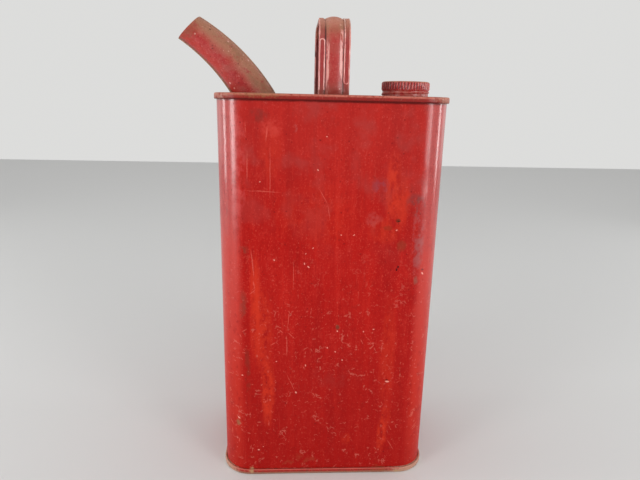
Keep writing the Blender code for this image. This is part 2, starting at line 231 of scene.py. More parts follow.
def stroke_tool():
    """A node group that draws one long oval: 1 inside it, fading to 0 at its edge."""
    tree = bpy.data.node_groups.new("stroke", "ShaderNodeTree")
    for name in STROKE_INPUTS:
        tree.interface.new_socket(name=name, in_out="INPUT", socket_type="NodeSocketFloat")
    tree.interface.new_socket(name="Mask", in_out="OUTPUT", socket_type="NodeSocketFloat")
    given = tree.nodes.new("NodeGroupInput").outputs
    reach = given["Fray"]
    for name in ("Along", "Across"):
        start = given[name + " Start"]
        part = calculate(tree, "MULTIPLY_ADD", given["X"], given[name + " X"], start)
        part = calculate(tree, "MULTIPLY_ADD", given["Z"], given[name + " Z"], part)
        reach = calculate(tree, "MULTIPLY_ADD", part, part, reach)
    mask = smooth_ramp(tree, reach, 1, given["Core"])
    tree.links.new(mask, tree.nodes.new("NodeGroupOutput").inputs["Mask"])
    return tree


STROKE = stroke_tool()
print("stroke tool:", len(STROKE.nodes), "nodes")

# %% [markdown]
# A Paint object holds one material and what has been mixed so far. A mask is a number
# from 0 to 1 for every place on the surface. Where a method takes masks, it also takes
# (value, low, high), which stands for a mask that rises from 0 at low to 1 at high. A
# layer that is given several masks lies where all of them are. The sizes of patterns and
# marks are in mm, and places on the surface are in metres.

# %% A paint mixed in layers
FRONT_FOOT = Vector((BODY_X, -BODY_DEPTH / 2, 0))
UNSTEADY_SIZE = 5  # in mm, as grain takes it
UNSTEADY_REACH = 1.1 * MM


def linear(colour):
    """A colour as a screen shows it, 0 to 255, turned into the light it stands for."""
    shares = [channel / 255 for channel in colour]
    lit = [s / 12.92 if s <= 0.04045 else ((s + 0.055) / 1.055) ** 2.4 for s in shares]
    return (*lit, 1)


def seeded(seed):
    """How far a pattern is moved, so that two of them don't look alike."""
    return (seed, seed * 0.7, seed * 1.3)


class Paint:
    """A material that is built up layer by layer, in the can's own coordinates."""

    def __init__(self, name, colour, roughness, gloss=0.0):
        self.material = bpy.data.materials.new(name)
        self.material.use_nodes = True
        self.tree = self.material.node_tree
        coordinates = self.tree.nodes.new("ShaderNodeTexCoord").outputs
        self.place, self.facing = coordinates["Object"], coordinates["Normal"]
        self.x, self.y, self.z = make(self.tree, "SeparateXYZ", {0: self.place}).node.outputs
        self.colour, self.roughness, self.gloss = linear(colour), roughness, gloss
        self.relief = 0.0
        self.fraying = self.grain(1.6, 4, 0.5)
        self.shaken = self.wobble()
        self.seen_x, self.seen_z = self.drift(self.x, 0.6), self.drift(self.z, 0.9)

    def number(self, operation, *values):
        return calculate(self.tree, operation, *values)

    def vector(self, operation, first, second=(0, 0, 0)):
        """One step of arithmetic with vectors; SCALE takes a number as its second value."""
        given = {0: first, "Scale" if operation == "SCALE" else 1: second}
        output = "Value" if operation in ("LENGTH", "DOT_PRODUCT") else "Vector"
        return make(self.tree, "VectorMath", given, output, operation=operation)

    def ramp(self, value, low, high):
        return smooth_ramp(self.tree, value, low, high)

    def fold(self, operation, parts):
        """Join masks one after the other."""
        masks = [self.ramp(*part) if isinstance(part, tuple) else part for part in parts]
        result = masks[0]
        for mask in masks[1:]:
            result = self.number(operation, result, mask)
        return result

    def all_of(self, *parts):
        return self.fold("MULTIPLY", parts)

    def any_of(self, *parts):
        return self.fold("MAXIMUM", parts)

    def grain(self, size, detail, seed, tall=1):
        """Cloudy noise whose blobs are about that size; tall stretches them upwards."""
        size *= MM
        moved = self.vector("ADD", self.place, seeded(seed))
        pulled = self.vector("DIVIDE", moved, (size, size, size * tall))
        given = {"Vector": pulled, "Scale": 1, "Detail": detail, "Roughness": 0.6}
        return make(self.tree, "TexNoise", given, "Fac")

    def dots(self, spacing, size, share, seed):
        """Small round spots, one in some of the cells of a grid that was shaken up."""
        moved = self.vector("ADD", self.shaken, seeded(seed))
        cells = self.vector("SCALE", moved, 1 / (spacing * MM))
        grid = make(self.tree, "TexVoronoi", {"Vector": cells, "Scale": 1}).node.outputs
        chance = make(self.tree, "SeparateColor", {0: grid["Color"]}).node.outputs
        reach = self.number("MULTIPLY", chance[1], size / spacing)
        near = self.number("SUBTRACT", reach, grid["Distance"])
        chosen = self.number("LESS_THAN", chance[0], share)
        return self.all_of((near, 0, 0.35 * size / spacing), chosen, chance[2])

    def curls(self, size, seed):
        """Fine curly hairs: the places where a noise passes through its middle."""
        noisy = self.number("SUBTRACT", self.grain(size, 2, seed), 0.5)
        here_and_there = self.grain(size * 0.9, 1, seed + 50)
        return self.all_of(
            (self.number("ABSOLUTE", noisy), 0.030, 0.010), (here_and_there, 0.60, 0.68))

    def wobble(self):
        """The place, shifted to and fro by smooth noise."""
        place = self.vector("SCALE", self.place, 1 / (UNSTEADY_SIZE * MM))
        given = {"Vector": place, "Scale": 1, "Detail": 3}
        shift = make(self.tree, "TexNoise", given, "Color")
        shift = self.vector("SUBTRACT", shift, (0.5, 0.5, 0.5))
        return self.vector("ADD", self.place, self.vector("SCALE", shift, UNSTEADY_REACH))

    def drift(self, coordinate, seed):
        """One coordinate, a little unsteady, as a hand would draw."""
        unsteady = self.number("SUBTRACT", self.grain(UNSTEADY_SIZE, 3, seed), 0.5)
        return self.number("MULTIPLY_ADD", unsteady, UNSTEADY_REACH, coordinate)

    def band(self, value, middle, half):
        """1 where a place is close to the middle, fading out at half a width from it."""
        away = self.number("ABSOLUTE", self.number("SUBTRACT", value, middle))
        return self.ramp(away, half, half * 0.4)

    def rise(self, low, high, base=0.0):
        """0 at one height and 1 at another, in mm above a base level."""
        return self.ramp(self.z, base + low * MM, base + high * MM)

    def toward(self, direction):
        """How squarely the surface faces a direction, from -1 to 1."""
        return self.vector("DOT_PRODUCT", self.facing, direction)

    def faces(self, low, high, direction=(0, 0, 1)):
        """Where the surface faces up, or another way."""
        return self.ramp(self.toward(direction), low, high)

    def stroke(self, start, end, width, soft=0.7, ragged=0.0):
        """A long oval on the front, between two points given from the foot of its middle."""
        (x0, z0), (x1, z1) = start, end
        length = math.hypot(x1 - x0, z1 - z0)
        cos, sin = ((x1 - x0) / length, (z1 - z0) / length) if length else (1, 0)
        x, z = BODY_X + (x0 + x1) / 2 * MM, (z0 + z1) / 2 * MM
        half = (length / 2 + width) * MM
        given = {"X": self.seen_x, "Z": self.seen_z, "Core": (1 - soft) ** 2}
        for name, along, up, size in (("Along", cos, sin, half), ("Across", -sin, cos, width * MM)):
            given[name + " X"] = along / size
            given[name + " Z"] = up / size
            given[name + " Start"] = -(x * along + z * up) / size
        if ragged:
            given["Fray"] = self.number("MULTIPLY_ADD", self.fraying, ragged, -ragged / 2)
        return make(self.tree, "Group", given, "Mask", node_tree=STROKE)

    def strokes(self, marks):
        """Many strokes as one mask; each is folded in at once, which keeps the shader small."""
        result = 0.0
        for start, end, width in marks:
            result = self.number("MAXIMUM", result, self.stroke(start, end, width))
        return result

    def oval(self, at, size, soft=0.9, ragged=0.8):
        """An upright or level oval on the front, with its half axes."""
        (x, z), (wide, high) = at, size
        if wide > high:
            return self.stroke((x - wide + high, z), (x + wide - high, z), high, soft, ragged)
        return self.stroke((x, z - high + wide), (x, z + high - wide), wide, soft, ragged)

    def spot(self, centre, size, soft, ragged):
        """A soft egg-shaped spot with frayed edges, placed from the foot of the front."""
        away = self.vector("SUBTRACT", self.place, FRONT_FOOT + Vector(centre) * MM)
        reach = self.vector("LENGTH", self.vector("DIVIDE", away, Vector(size) * MM))
        fray = self.number("MULTIPLY", self.number("SUBTRACT", self.fraying, 0.5), ragged)
        return self.ramp(self.number("ADD", reach, fray), 1, 1 - soft)

    def mix(self, kind, first, second, strength, parts):
        """Part of the way from the first to the second, where all the masks are."""
        share = self.number("MULTIPLY", self.all_of(*parts), strength)
        return make(self.tree, "Mix", {"Factor": share, "A": first, "B": second}, "Result",
                    data_type=kind)

    def lay(self, colour, strength, *parts):
        """A coat of another colour."""
        self.colour = self.mix("RGBA", self.colour, linear(colour), strength, parts)

    def dull(self, roughness, strength, *parts):
        """Another roughness."""
        self.roughness = self.mix("FLOAT", self.roughness, roughness, strength, parts)

    def polish(self, gloss, *parts):
        """More or less of the clear top coat."""
        self.gloss = self.mix("FLOAT", self.gloss, gloss, 1.0, parts)

    def raise_by(self, mask, height):
        """Fine relief, in metres."""
        self.relief = self.number("ADD", self.relief, self.number("MULTIPLY", mask, height))

    def done(self, specular, coat_roughness=0.2):
        """Join what was mixed to the shader."""
        relief = {"Strength": 1, "Distance": 1, "Height": self.relief}
        bumpy = make(self.tree, "Bump", relief, "Normal")
        fill(self.tree, self.tree.nodes["Principled BSDF"], {
            "Base Color": self.colour, "Roughness": self.roughness, "Normal": bumpy,
            "Coat Weight": self.gloss, "Coat Normal": bumpy, "Coat Roughness": coat_roughness,
            "Specular IOR Level": specular})
        print("paint:", self.material.name, "with", len(self.tree.nodes), "nodes")
        return self.material


# %% [markdown]
# The enamel of the walls: a deep red with a warmer, brighter red where it has thinned.
# Stretched noise makes the upright streaks that a wiping cloth left. Every row below is a coat of
# one colour, a strength, and the noise that decides where it lies; the last row is painted shade,
# which darkens the enamel towards the bottom by height.

# %% Enamel of the body
enamel = Paint("aged_red_enamel", (172, 14, 8), 0.42, gloss=0.12)
streaks = enamel.grain(5, 4, 1, tall=18)
wide_streaks = enamel.grain(16, 3, 13, tall=9)
brushed = enamel.grain(1.5, 4, 18, tall=14)
clouds = enamel.grain(34, 4, 2, tall=1.6)
mottle = enamel.grain(5, 5, 3, tall=1.5)
fine = enamel.grain(1.1, 4, 4, tall=1.3)
front = enamel.faces(0.05, 0.3, (0, -1, 0))
for colour, strength, value, low, high in (
        ((180, 22, 14), 0.75, clouds, 0.35, 0.70),
        ((196, 28, 16), 0.40, wide_streaks, 0.45, 0.75),
        ((150, 14, 12), 0.40, wide_streaks, 0.48, 0.26),
        ((206, 38, 26), 0.40, streaks, 0.50, 0.78),
        ((140, 10, 8), 0.30, streaks, 0.48, 0.24),
        ((208, 50, 38), 0.30, brushed, 0.54, 0.74),
        ((140, 12, 10), 0.30, brushed, 0.46, 0.26),
        ((204, 48, 38), 0.30, mottle, 0.52, 0.74),
        ((138, 14, 10), 0.35, mottle, 0.45, 0.28),
        ((216, 84, 70), 0.40, fine, 0.55, 0.72),
        ((112, 10, 8), 0.38, fine, 0.44, 0.28),
        # Painted shade: the enamel is made darker towards the bottom, where less light falls.
        ((146, 8, 4), 0.45, enamel.z, 200 * MM, 40 * MM)):
    enamel.lay(colour, strength, (value, low, high))

# %% [markdown]
# The round corners are different: hands and cloths have polished them, so they keep their gloss,
# and lower down the red has thinned to orange. Higher up they carry a painted pinkish reflection of
# the bright room. They are found by the way the surface faces, which is neither straight ahead nor
# straight to the side. The patches and smudges on the front are the ones that catch the eye in the
# photo, placed one by one; two of the smudges are painted sheen.

# %% Corners, patches, smudges and painted sheen
# Where in mm, half axes in mm, strength
PATCHES = (
    ((45, 247), (7, 32), 0.75), ((53, 236), (7, 24), 0.55), ((40, 214), (15, 12), 0.45),
    ((-57, 165), (5, 36), 0.6), ((-53, 132), (11, 42), 0.55), ((-48, 78), (7, 38), 0.75),
    ((47, 36), (5, 20), 0.75), ((50, 55), (5, 16), 0.4), ((17, 33), (5, 7), 0.4),
    ((-45, 272), (10, 24), 0.35), ((-12, 225), (36, 30), 0.2), ((48, 110), (8, 60), 0.3),
)
# Where, half axes, colour, strength
SMUDGES_AND_SHEEN = (
    # Two rows are painted sheen on the corners, not smudges: (66.5, 208) is a greyish painted
    # highlight and (-70, 262) a pinkish painted reflection.
    ((62.5, 234.0), (9, 11), (112, 56, 54), 0.75), ((66.5, 208.0), (6, 38), (156, 84, 84), 0.7),
    ((35.5, 248.0), (8, 7), (140, 62, 72), 0.6), ((32.0, 222.0), (8, 8), (176, 78, 74), 0.4),
    ((-66.5, 150.0), (4, 20), (132, 58, 46), 0.6), ((-65.5, 198.0), (5, 5), (128, 52, 40), 0.7),
    ((-64.0, 96.0), (3, 36), (122, 40, 28), 0.55), ((-55.0, 296.0), (13, 6), (126, 44, 38), 0.6),
    ((-70.0, 262.0), (9, 60), (202, 84, 82), 0.5), ((-44.0, 289.0), (10, 9), (206, 70, 60), 0.5),
    ((-27.3, 288.5), (2.0, 4.0), (172, 92, 88), 0.7), ((8.0, 92.0), (26, 14), (154, 34, 30), 0.5),
)

aside = enamel.number("ABSOLUTE", enamel.toward((1, 0, 0)))
ahead = enamel.number("ABSOLUTE", enamel.toward((0, 1, 0)))
corner = enamel.all_of((aside, 0.10, 0.45), (ahead, 0.02, 0.25))
sheen_and_pit_heights = enamel.rise(185, 275)
enamel.lay((202, 48, 32), 0.7, corner, enamel.rise(265, 180), enamel.rise(-60, 110),
           (mottle, 0.22, 0.50))
# Painted reflection: a pinkish haze on the upper corners, with darker flecks that break it up,
# stands for the bright room mirrored in their gloss.
enamel.lay((190, 96, 94), 0.5, corner, sheen_and_pit_heights, (mottle, 0.15, 0.50))
enamel.lay((140, 40, 38), 0.5, corner, sheen_and_pit_heights, (fine, 0.50, 0.38))
worn = enamel.all_of(enamel.any_of((streaks, 0.36, 0.70), (mottle, 0.34, 0.60)), front)
for at, size, strength in PATCHES:
    enamel.lay((210, 54, 28), strength, enamel.oval(at, size), worn)
enamel.lay((160, 66, 62), 0.45, (enamel.grain(26, 3, 14, tall=1.2), 0.48, 0.66),
           enamel.rise(160, 290))
# Painted light: the front is made lighter towards its top, where more light falls.
enamel.lay((176, 56, 50), 0.30, front, enamel.rise(200, 300))
rubbed = enamel.all_of(front, (mottle, 0.40, 0.60))
# Smudges, and two patches of painted sheen on the corners.
for at, size, colour, strength in SMUDGES_AND_SHEEN:
    enamel.lay(colour, strength, enamel.oval(at, size), rubbed)

# %% [markdown]
# Scratches, lint, specks and chips come next, because they lie on top of the fading. The
# hairlines, the lint and the specks are patterns. The marks in the tables are drawn one
# by one: scratches first, then dark chips, and last the nicks that shine like bare metal.

# %% Scratches, lint and chips
# From x, z, to x, z, and the half width, all in mm
SCRATCHES = (
    (-65.6, 243.4, -35.8, 242.0, 0.42), (-45.3, 279.6, -45.5, 232.7, 0.36),
    (-61.6, 273.2, -62.0, 247.7, 0.42), (-62.7, 293.0, -62.4, 284.0, 0.40),
    (-47.1, 290.2, -48.2, 277.4, 0.48), (-60.3, 201.1, -57.6, 173.8, 0.50),
    (-58.5, 173.8, -57.3, 166.2, 0.50), (-57.3, 166.2, -61.7, 162.5, 0.45),
    (-28.0, 192.3, -27.8, 164.7, 0.32), (-10.0, 245.9, -3.0, 233.2, 0.32),
    (-3.0, 233.2, -0.9, 221.1, 0.32), (-30.7, 151.3, -32.6, 131.1, 0.32),
    (-32.8, 128.6, -32.7, 108.9, 0.50), (-33.3, 95.2, -25.5, 77.4, 0.36),
    (-32.6, 131.1, -26.1, 124.9, 0.45), (-38.4, 132.8, -35.6, 130.4, 0.50),
    (-46.0, 119.4, -40.5, 122.5, 0.45), (-68.0, 131.1, -64.1, 133.7, 0.50),
    (-69.8, 129.0, -68.4, 126.4, 0.45), (26.1, 124.9, 27.8, 120.3, 0.50),
    (29.7, 126.9, 33.7, 123.6, 0.42), (-13.5, 152.1, -14.5, 145.4, 0.40),
    (52.0, 32.0, 58.6, 20.6, 0.45), (72.5, 40.1, 78.0, 45.3, 0.50),
    (-79.7, 48.9, -76.7, 44.9, 0.60), (-78.0, 42.0, -78.1, 35.3, 0.55),
    (-47.3, 51.7, -47.3, 46.0, 0.50), (-62.5, 59.4, -62.6, 55.3, 0.42),
    (-71.6, 34.0, -72.4, 29.6, 0.50), (-64.2, 35.0, -64.4, 31.0, 0.42),
    (6.7, 4.0, 10.5, 8.0, 0.45),
)
# Where, half axes, colour, strength
CHIPS = (
    ((49.9, 222.0), (2.6, 1.8), (84, 34, 14), 0.75), ((50.4, 221.2), (1.0, 0.9), (52, 26, 10), 0.9),
    ((52.2, 185.4), (0.9, 1.6), (58, 4, 6), 1.0), ((51.3, 183.2), (0.9, 1.4), (60, 5, 7), 1.0),
    ((71.6, 183.0), (1.5, 1.0), (96, 24, 30), 0.8), ((7.1, 135.2), (2.0, 2.6), (104, 58, 40), 0.75),
    ((48.9, 88.6), (1.8, 0.6), (90, 14, 10), 0.8), ((42.5, 216.0), (4.5, 2.5), (128, 44, 20), 0.5),
    ((53.8, 202.5), (5, 5.5), (124, 52, 30), 0.5), ((66.6, 174.5), (2.4, 4.4), (132, 80, 66), 0.6),
    ((-72.5, 48.6), (2.2, 3.6), (150, 100, 68), 0.8),
)
# Start x, z, the run from there in x and z, and the half width
NICKS = (
    (48.0, 87.2, 2.6, -0.3, 0.9), (6.9, 132.0, 0.2, -0.3, 0.7), (-0.5, 117.6, 0.1, -0.3, 0.7),
    (5.7, 113.9, 0.2, -0.2, 0.6), (11.5, 106.8, 0.3, -0.4, 0.6), (-17.8, 102.5, 0.1, -1.4, 0.5),
    (-25.3, 77.6, 0.3, -0.5, 0.8), (27.8, 131.6, 0.1, -0.2, 0.6), (35.4, 133.4, 0.9, 0.1, 0.55),
    (-41.0, 105.4, 0.2, 0, 0.6), (-68.8, 93.0, 1.0, 0.1, 0.6), (-19.0, 195.1, 0.3, 0.5, 0.45),
    (-19.7, 188.3, 0.2, -1.2, 0.5), (-17.1, 185.6, 1.3, -1.3, 0.5), (-42.7, 190.4, 0.3, -0.3, 0.7),
    (-52.9, 249.7, 0.4, 0.1, 0.5), (-11.1, 259.3, 0.6, -0.8, 0.5), (-5.0, 282.8, 0.4, 0, 0.5),
    (-13.6, 199.6, 0.5, 0.5, 0.45), (49.2, 214.3, 0.2, 0.2, 0.65), (7.5, 210.4, 0.2, -0.2, 0.55),
    (16.8, 210.0, 0.9, 0.8, 0.42), (-72.4, 53.5, 1.2, -0.8, 0.8), (-56.4, 23.1, 0.8, 0.1, 0.7),
    (-52.1, 26.3, 0.2, 0, 0.45), (71.4, 180.4, 1.0, -1.2, 0.7),
)

hairlines = enamel.grain(0.55, 2, 5, tall=60)
enamel.lay((214, 96, 84), 0.35, (hairlines, 0.66, 0.76), (enamel.grain(22, 2, 6), 0.48, 0.64))
scratched = enamel.strokes(((x0, z0), (x1, z1), half) for x0, z0, x1, z1, half in SCRATCHES)
enamel.lay((218, 104, 90), 0.5, scratched, front, (fine, 0.28, 0.50))
lint = enamel.any_of(enamel.curls(8, 61), enamel.curls(4.5, 62))
enamel.lay((206, 106, 92), 0.5, lint, enamel.rise(230, 110))
enamel.lay((202, 86, 76), 0.4, enamel.curls(5, 63), (clouds, 0.46, 0.60))
enamel.lay((224, 128, 114), 0.6, enamel.dots(5, 0.9, 0.14, 7))
enamel.lay((214, 100, 86), 0.5, enamel.dots(2.6, 0.6, 0.16, 15))
enamel.lay((96, 12, 12), 0.6, enamel.dots(4, 0.9, 0.4, 8))
for at, size, colour, strength in CHIPS:
    enamel.lay(colour, strength, enamel.oval(at, size, 0.8, 1.4), front)
nicked = enamel.strokes(((x, z), (x + dx, z + dz), half) for x, z, dx, dz, half in NICKS)
enamel.lay((238, 168, 152), 0.8, nicked, front)
pits = enamel.all_of(corner, enamel.dots(1.6, 0.75, 0.6, 16))
enamel.lay((110, 34, 32), 0.8, pits, sheen_and_pit_heights)
enamel.polish(1.0, corner, enamel.rise(60, 200))
enamel.polish(0.1, pits)

# %% [markdown]
# Both rims have been knocked and handled most. Their top edges carry tan dust and a painted
# highlight line, their lower edges a dark line of dirt and painted shadow, the lower curl of the
# rim is painted in shade, and the foot carries a painted highlight on top and shows bare, greyish
# metal.

# %% Dirt, painted shade and painted highlights on the rims
RIM = RIM_TOP / MM
at_rim = enamel.rise(-4.8, -4.5, RIM_TOP)
at_foot = enamel.rise(5.2, 4.7)
edges = enamel.any_of(at_rim, at_foot)
dirt = enamel.grain(3.2, 5, 9)
long_dirt = enamel.grain(16, 3, 10)
# Dirt and painted shadow: a dark line on the wall just under the rim.
enamel.lay((84, 10, 8), 0.8, enamel.rise(-6.0, -4.8, RIM_TOP), (long_dirt, 0.20, 0.48))
enamel.lay((162, 46, 40), 0.6, edges)
enamel.lay((118, 46, 36), 0.75, edges, (dirt, 0.44, 0.66))
enamel.lay((190, 120, 104), 0.5, edges, (fine, 0.56, 0.70))
# Painted shade: the rim grows darker towards its lower curl, which faces down.
enamel.lay((138, 26, 24), 0.6, at_rim, enamel.rise(-1.8, -3, RIM_TOP))
enamel.lay((84, 10, 8), 0.85, at_rim, enamel.rise(-3.2, -4, RIM_TOP))
enamel.lay((164, 98, 80), 0.8, at_rim, enamel.faces(-0.1, 0.7), (dirt, 0.25, 0.50))
# Tan dust and painted highlight: a pale line along the rim's crest.
shoulder = enamel.band(enamel.z, RIM_TOP - 0.9 * MM, 0.9 * MM)
enamel.lay((206, 116, 100), 0.75, shoulder, (dirt, 0.30, 0.52))
lid_floor = enamel.all_of(
    enamel.rise(-1.5, -0.5, LID_TOP), enamel.rise(2.5, 1.5, LID_TOP), enamel.faces(0.5, 0.95))
enamel.lay((134, 84, 66), 0.6, lid_floor, (clouds, 0.36, 0.62))
enamel.lay((168, 120, 96), 0.5, lid_floor, (mottle, 0.50, 0.66))
enamel.lay((70, 34, 26), 0.6, lid_floor, (dirt, 0.60, 0.70))
enamel.lay((150, 108, 70), 0.7, at_rim, enamel.spot((-52, 0, RIM), (26, 8, 4.2), 0.9, 1.4))
corner_dust = enamel.any_of(
    enamel.spot((-82, 8, RIM), (16, 16, 6), 0.5, 1.0),
    enamel.spot((80, 8, RIM), (18, 16, 6), 0.5, 1.0))
enamel.lay((178, 126, 108), 0.7, at_rim, corner_dust, (dirt, 0.28, 0.52))
enamel.lay((70, 30, 26), 0.9, at_rim, corner_dust, enamel.dots(3, 1.3, 0.5, 17))
# Worn paint and painted highlight: the foot's upward faces are made paler.
enamel.lay((212, 112, 98), 0.75, at_foot, enamel.faces(0.1, 0.8))
enamel.lay((150, 112, 92), 0.85, at_foot, enamel.rise(2.8, 1.6))
foot_dirt = enamel.any_of(
    enamel.spot((-85, 14, 2), (22, 22, 6), 0.5, 1.0),
    enamel.spot((74, 8, 2), (26, 22, 6), 0.5, 1.0))
enamel.lay((190, 148, 126), 0.8, at_foot, foot_dirt)
mud = enamel.any_of(
    enamel.oval((-62, 4), (2.6, 3.4), 0.9, 2.4), enamel.oval((62, 1.4), (5, 1.4), 0.9, 2.4))
enamel.lay((176, 144, 104), 0.85, mud, front, (dirt, 0.36, 0.52))
enamel.lay((140, 88, 58), 0.45, enamel.rise(22, 5), (long_dirt, 0.56, 0.70))
enamel.dull(0.6, 0.6, edges)
enamel.polish(0.15, edges)
enamel.dull(0.7, 0.7, lid_floor)
enamel.polish(0.05, lid_floor)
enamel.dull(0.5, 0.5, (mottle, 0.45, 0.75))
enamel.raise_by(enamel.grain(0.9, 3, 11), 0.030 * MM)
enamel.raise_by(enamel.grain(7, 2, 12), 0.08 * MM)
ENAMEL = enamel.done(specular=0.08, coat_roughness=0.19)

# %% [markdown]
# Spout, handle and neck were painted with the body but are handled more. Their red is browner,
# grooves hold dirt and painted shade, and a tan dust lies on everything that faces up. Along the
# spout's seam the ridge is rubbed pale and carries a painted highlight, and a line of dirt and
# painted shade lies beside it.

# %% Paint of the spout
SPOUT_ACROSS = (math.sin(math.radians(SPOUT_SWING)), -math.cos(math.radians(SPOUT_SWING)), 0)


def fittings_coat(name, upper):
    """The worn red that spout, neck and handle share; upper is the way their tops face."""
    paint = Paint(name, (170, 38, 36), 0.42, gloss=0.3)
    wear, blotch, speck = paint.grain(4, 5, 21), paint.grain(13, 3, 26), paint.grain(1, 4, 27)
    paint.lay((188, 74, 70), 0.55, (wear, 0.45, 0.66))
    paint.lay((136, 26, 22), 0.6, (wear, 0.44, 0.28))
    paint.lay((166, 84, 72), 0.5, (blotch, 0.48, 0.62))
    paint.lay((186, 40, 26), 0.7, paint.faces(-0.15, -0.7, upper))
    dust = paint.all_of(paint.faces(-0.05, 0.75, upper), (wear, 0.25, 0.50))
    paint.lay((164, 118, 90), 0.85, dust)
    paint.lay((138, 98, 70), 0.6, dust, (blotch, 0.52, 0.40))
    paint.dull(0.75, 0.8, dust)
    paint.polish(0.0, dust)
    paint.lay((224, 150, 138), 0.40, (speck, 0.56, 0.72))
    paint.lay((96, 26, 20), 0.45, (speck, 0.42, 0.28))
    paint.lay((240, 190, 178), 0.7, paint.dots(3.4, 1.0, 0.30, 23))
    paint.lay((70, 18, 14), 0.7, paint.dots(2.6, 0.9, 0.5, 24))
    paint.raise_by(paint.grain(0.9, 3, 25), 0.05 * MM)
    return paint, speck


spout_paint, speck = fittings_coat("spout_red_enamel", (0.62, -0.1, 0.78))
mouth_area = spout_paint.spot((-108, 43.5, 357), (13, 26, 11), 0.5, 1.2)
spout_paint.lay((142, 66, 40), 0.75, mouth_area, (speck, 0.40, 0.52))
from_base = spout_paint.vector("SUBTRACT", spout_paint.place, (SPOUT_X, 0, 0))
off_seam = spout_paint.number(
    "ABSOLUTE", spout_paint.vector("DOT_PRODUCT", from_base, SPOUT_ACROSS))
above_base = spout_paint.rise(-2, 0, RIM_TOP)
# Dirt and painted shade: a dark line at the root of the seam's lip.
dirt_and_shade_beside_ridge = spout_paint.band(off_seam, 2.4 * MM, 2.4 * MM)
spout_paint.lay((104, 50, 38), 0.75, dirt_and_shade_beside_ridge, (speck, 0.34, 0.50), above_base)
# Rubbed paint and painted highlight: the seam's ridge is made pale.
ridge = spout_paint.all_of((off_seam, 1.1 * MM, 0.85 * MM), above_base)
spout_paint.lay((186, 144, 116), 0.9, ridge)
spout_paint.lay((240, 204, 194), 0.9, ridge, spout_paint.dots(5, 2.4, 0.35, 29))
SPOUT_ENAMEL = spout_paint.done(specular=0.3, coat_roughness=0.25)

# %% [markdown]
# On the handle the paint is gone from every raised line, and those lines are painted lighter as
# painted highlights too. The narrow channels beside the rib are full of dirt and painted shade, and
# the inner face of the rear leg is painted dark as painted shade. Lines and channels are bands
# across its width, measured from its middle.

# %% Paint of the handle
CHANNEL_MIDDLE = 6.6 * MM
CHANNEL_DIRT_AND_SHADE = 0.75 * MM
HEM_EDGE = 10.9 * MM
HEM_WEAR_AND_HIGHLIGHT = 0.8 * MM
# Place across the handle, half width, and the heights over the rim it runs between, in mm
RIB_EDGE_WEAR_AND_HIGHLIGHT = ((-4.6, 1.1, -10, 38), (4.9, 1.6, 8, 46))

handle_paint, speck = fittings_coat("handle_red_enamel", (0, -0.1, 1))
across = handle_paint.number("SUBTRACT", handle_paint.x, BODY_X)
width = handle_paint.number("ABSOLUTE", across)
flaked = handle_paint.ramp(handle_paint.grain(2.2, 4, 28, tall=5), 0.38, 0.52)
handle_paint.lay((172, 36, 38), 0.35, handle_paint.band(across, 0, 5 * MM))
handle_paint.lay((138, 36, 42), 0.5, (width, 6.6 * MM, 7.4 * MM))
# Painted shade: the inner face of the rear leg, which faces the front, is made dark.
shaded_rear_leg = (handle_paint.y, 8 * MM, 20 * MM)
handle_paint.lay((74, 24, 22), 0.75, shaded_rear_leg, handle_paint.faces(0.2, 0.5, (0, -1, 0)))
# Worn paint and painted highlight: pale streaks along the flanks of the rib.
for at, half, low, high in RIB_EDGE_WEAR_AND_HIGHLIGHT:
    edge = handle_paint.band(across, at * MM, half * MM)
    handle_paint.lay((236, 168, 158), 0.85, edge, handle_paint.rise(high, high - 4, RIM_TOP),
                     handle_paint.rise(low, low + 6, RIM_TOP), flaked)
# Worn paint and painted highlight: a pale line along each folded edge.
handle_paint.lay((230, 158, 150), 0.8, handle_paint.band(width, HEM_EDGE, HEM_WEAR_AND_HIGHLIGHT), flaked)
# Dirt and painted shade in the narrow channels beside the rib.
handle_paint.lay((64, 14, 12), 0.9, handle_paint.band(width, CHANNEL_MIDDLE, CHANNEL_DIRT_AND_SHADE))
handle_paint.lay((196, 132, 110), 0.7, handle_paint.rise(43, 51, RIM_TOP), (speck, 0.30, 0.45))
handle_paint.lay((132, 78, 62), 0.5, handle_paint.rise(12, 0, RIM_TOP))
HANDLE_ENAMEL = handle_paint.done(specular=0.3, coat_roughness=0.2)

# The pressed outlines are painted pale pink: worn enamel, with a painted highlight along the raised
# bead.
line_paint = Paint("worn_and_lit_line_enamel", (216, 128, 120), 0.42, gloss=0.4)
chipped = line_paint.grain(2.2, 4, 33, tall=4)
line_paint.lay((240, 184, 176), 0.8, (chipped, 0.46, 0.60))
line_paint.lay((160, 52, 48), 0.8, (chipped, 0.44, 0.32))
line_paint.lay((184, 136, 110), 0.7, line_paint.rise(40, 50, RIM_TOP))
LINE_ENAMEL = line_paint.done(specular=0.3, coat_roughness=0.25)

# %% [markdown]
# The cap's rib tops are painted pale, rubbed paint with a painted highlight, and the dips between
# them are painted darker. Rib and dip differ by their distance from the cap's axis, which is all
# the mask needs.

# %% Paint of the cap and of the seal
BAND_LOW = RIM_TOP + 5.2 * MM
DIP_REACH = CAP_RADIUS - 0.5 * MM

cap_paint = Paint("cap_red_enamel", (184, 40, 38), 0.40, gloss=0.3)
rubbed = cap_paint.grain(2.5, 5, 31)
cap_paint.lay((208, 92, 86), 0.6, (rubbed, 0.44, 0.66))
cap_paint.lay((120, 24, 20), 0.5, (rubbed, 0.44, 0.28))
flat_place = cap_paint.vector("MULTIPLY", cap_paint.place, (1, 1, 0))
reach = cap_paint.vector("LENGTH", cap_paint.vector("SUBTRACT", flat_place, (CAP_X, 0, 0)))
on_band = cap_paint.rise(0, 0.6, BAND_LOW)
rib_tops = (reach, CAP_RADIUS - 0.22 * MM, CAP_RADIUS - 0.06 * MM)
top = cap_paint.faces(0.2, 0.9)
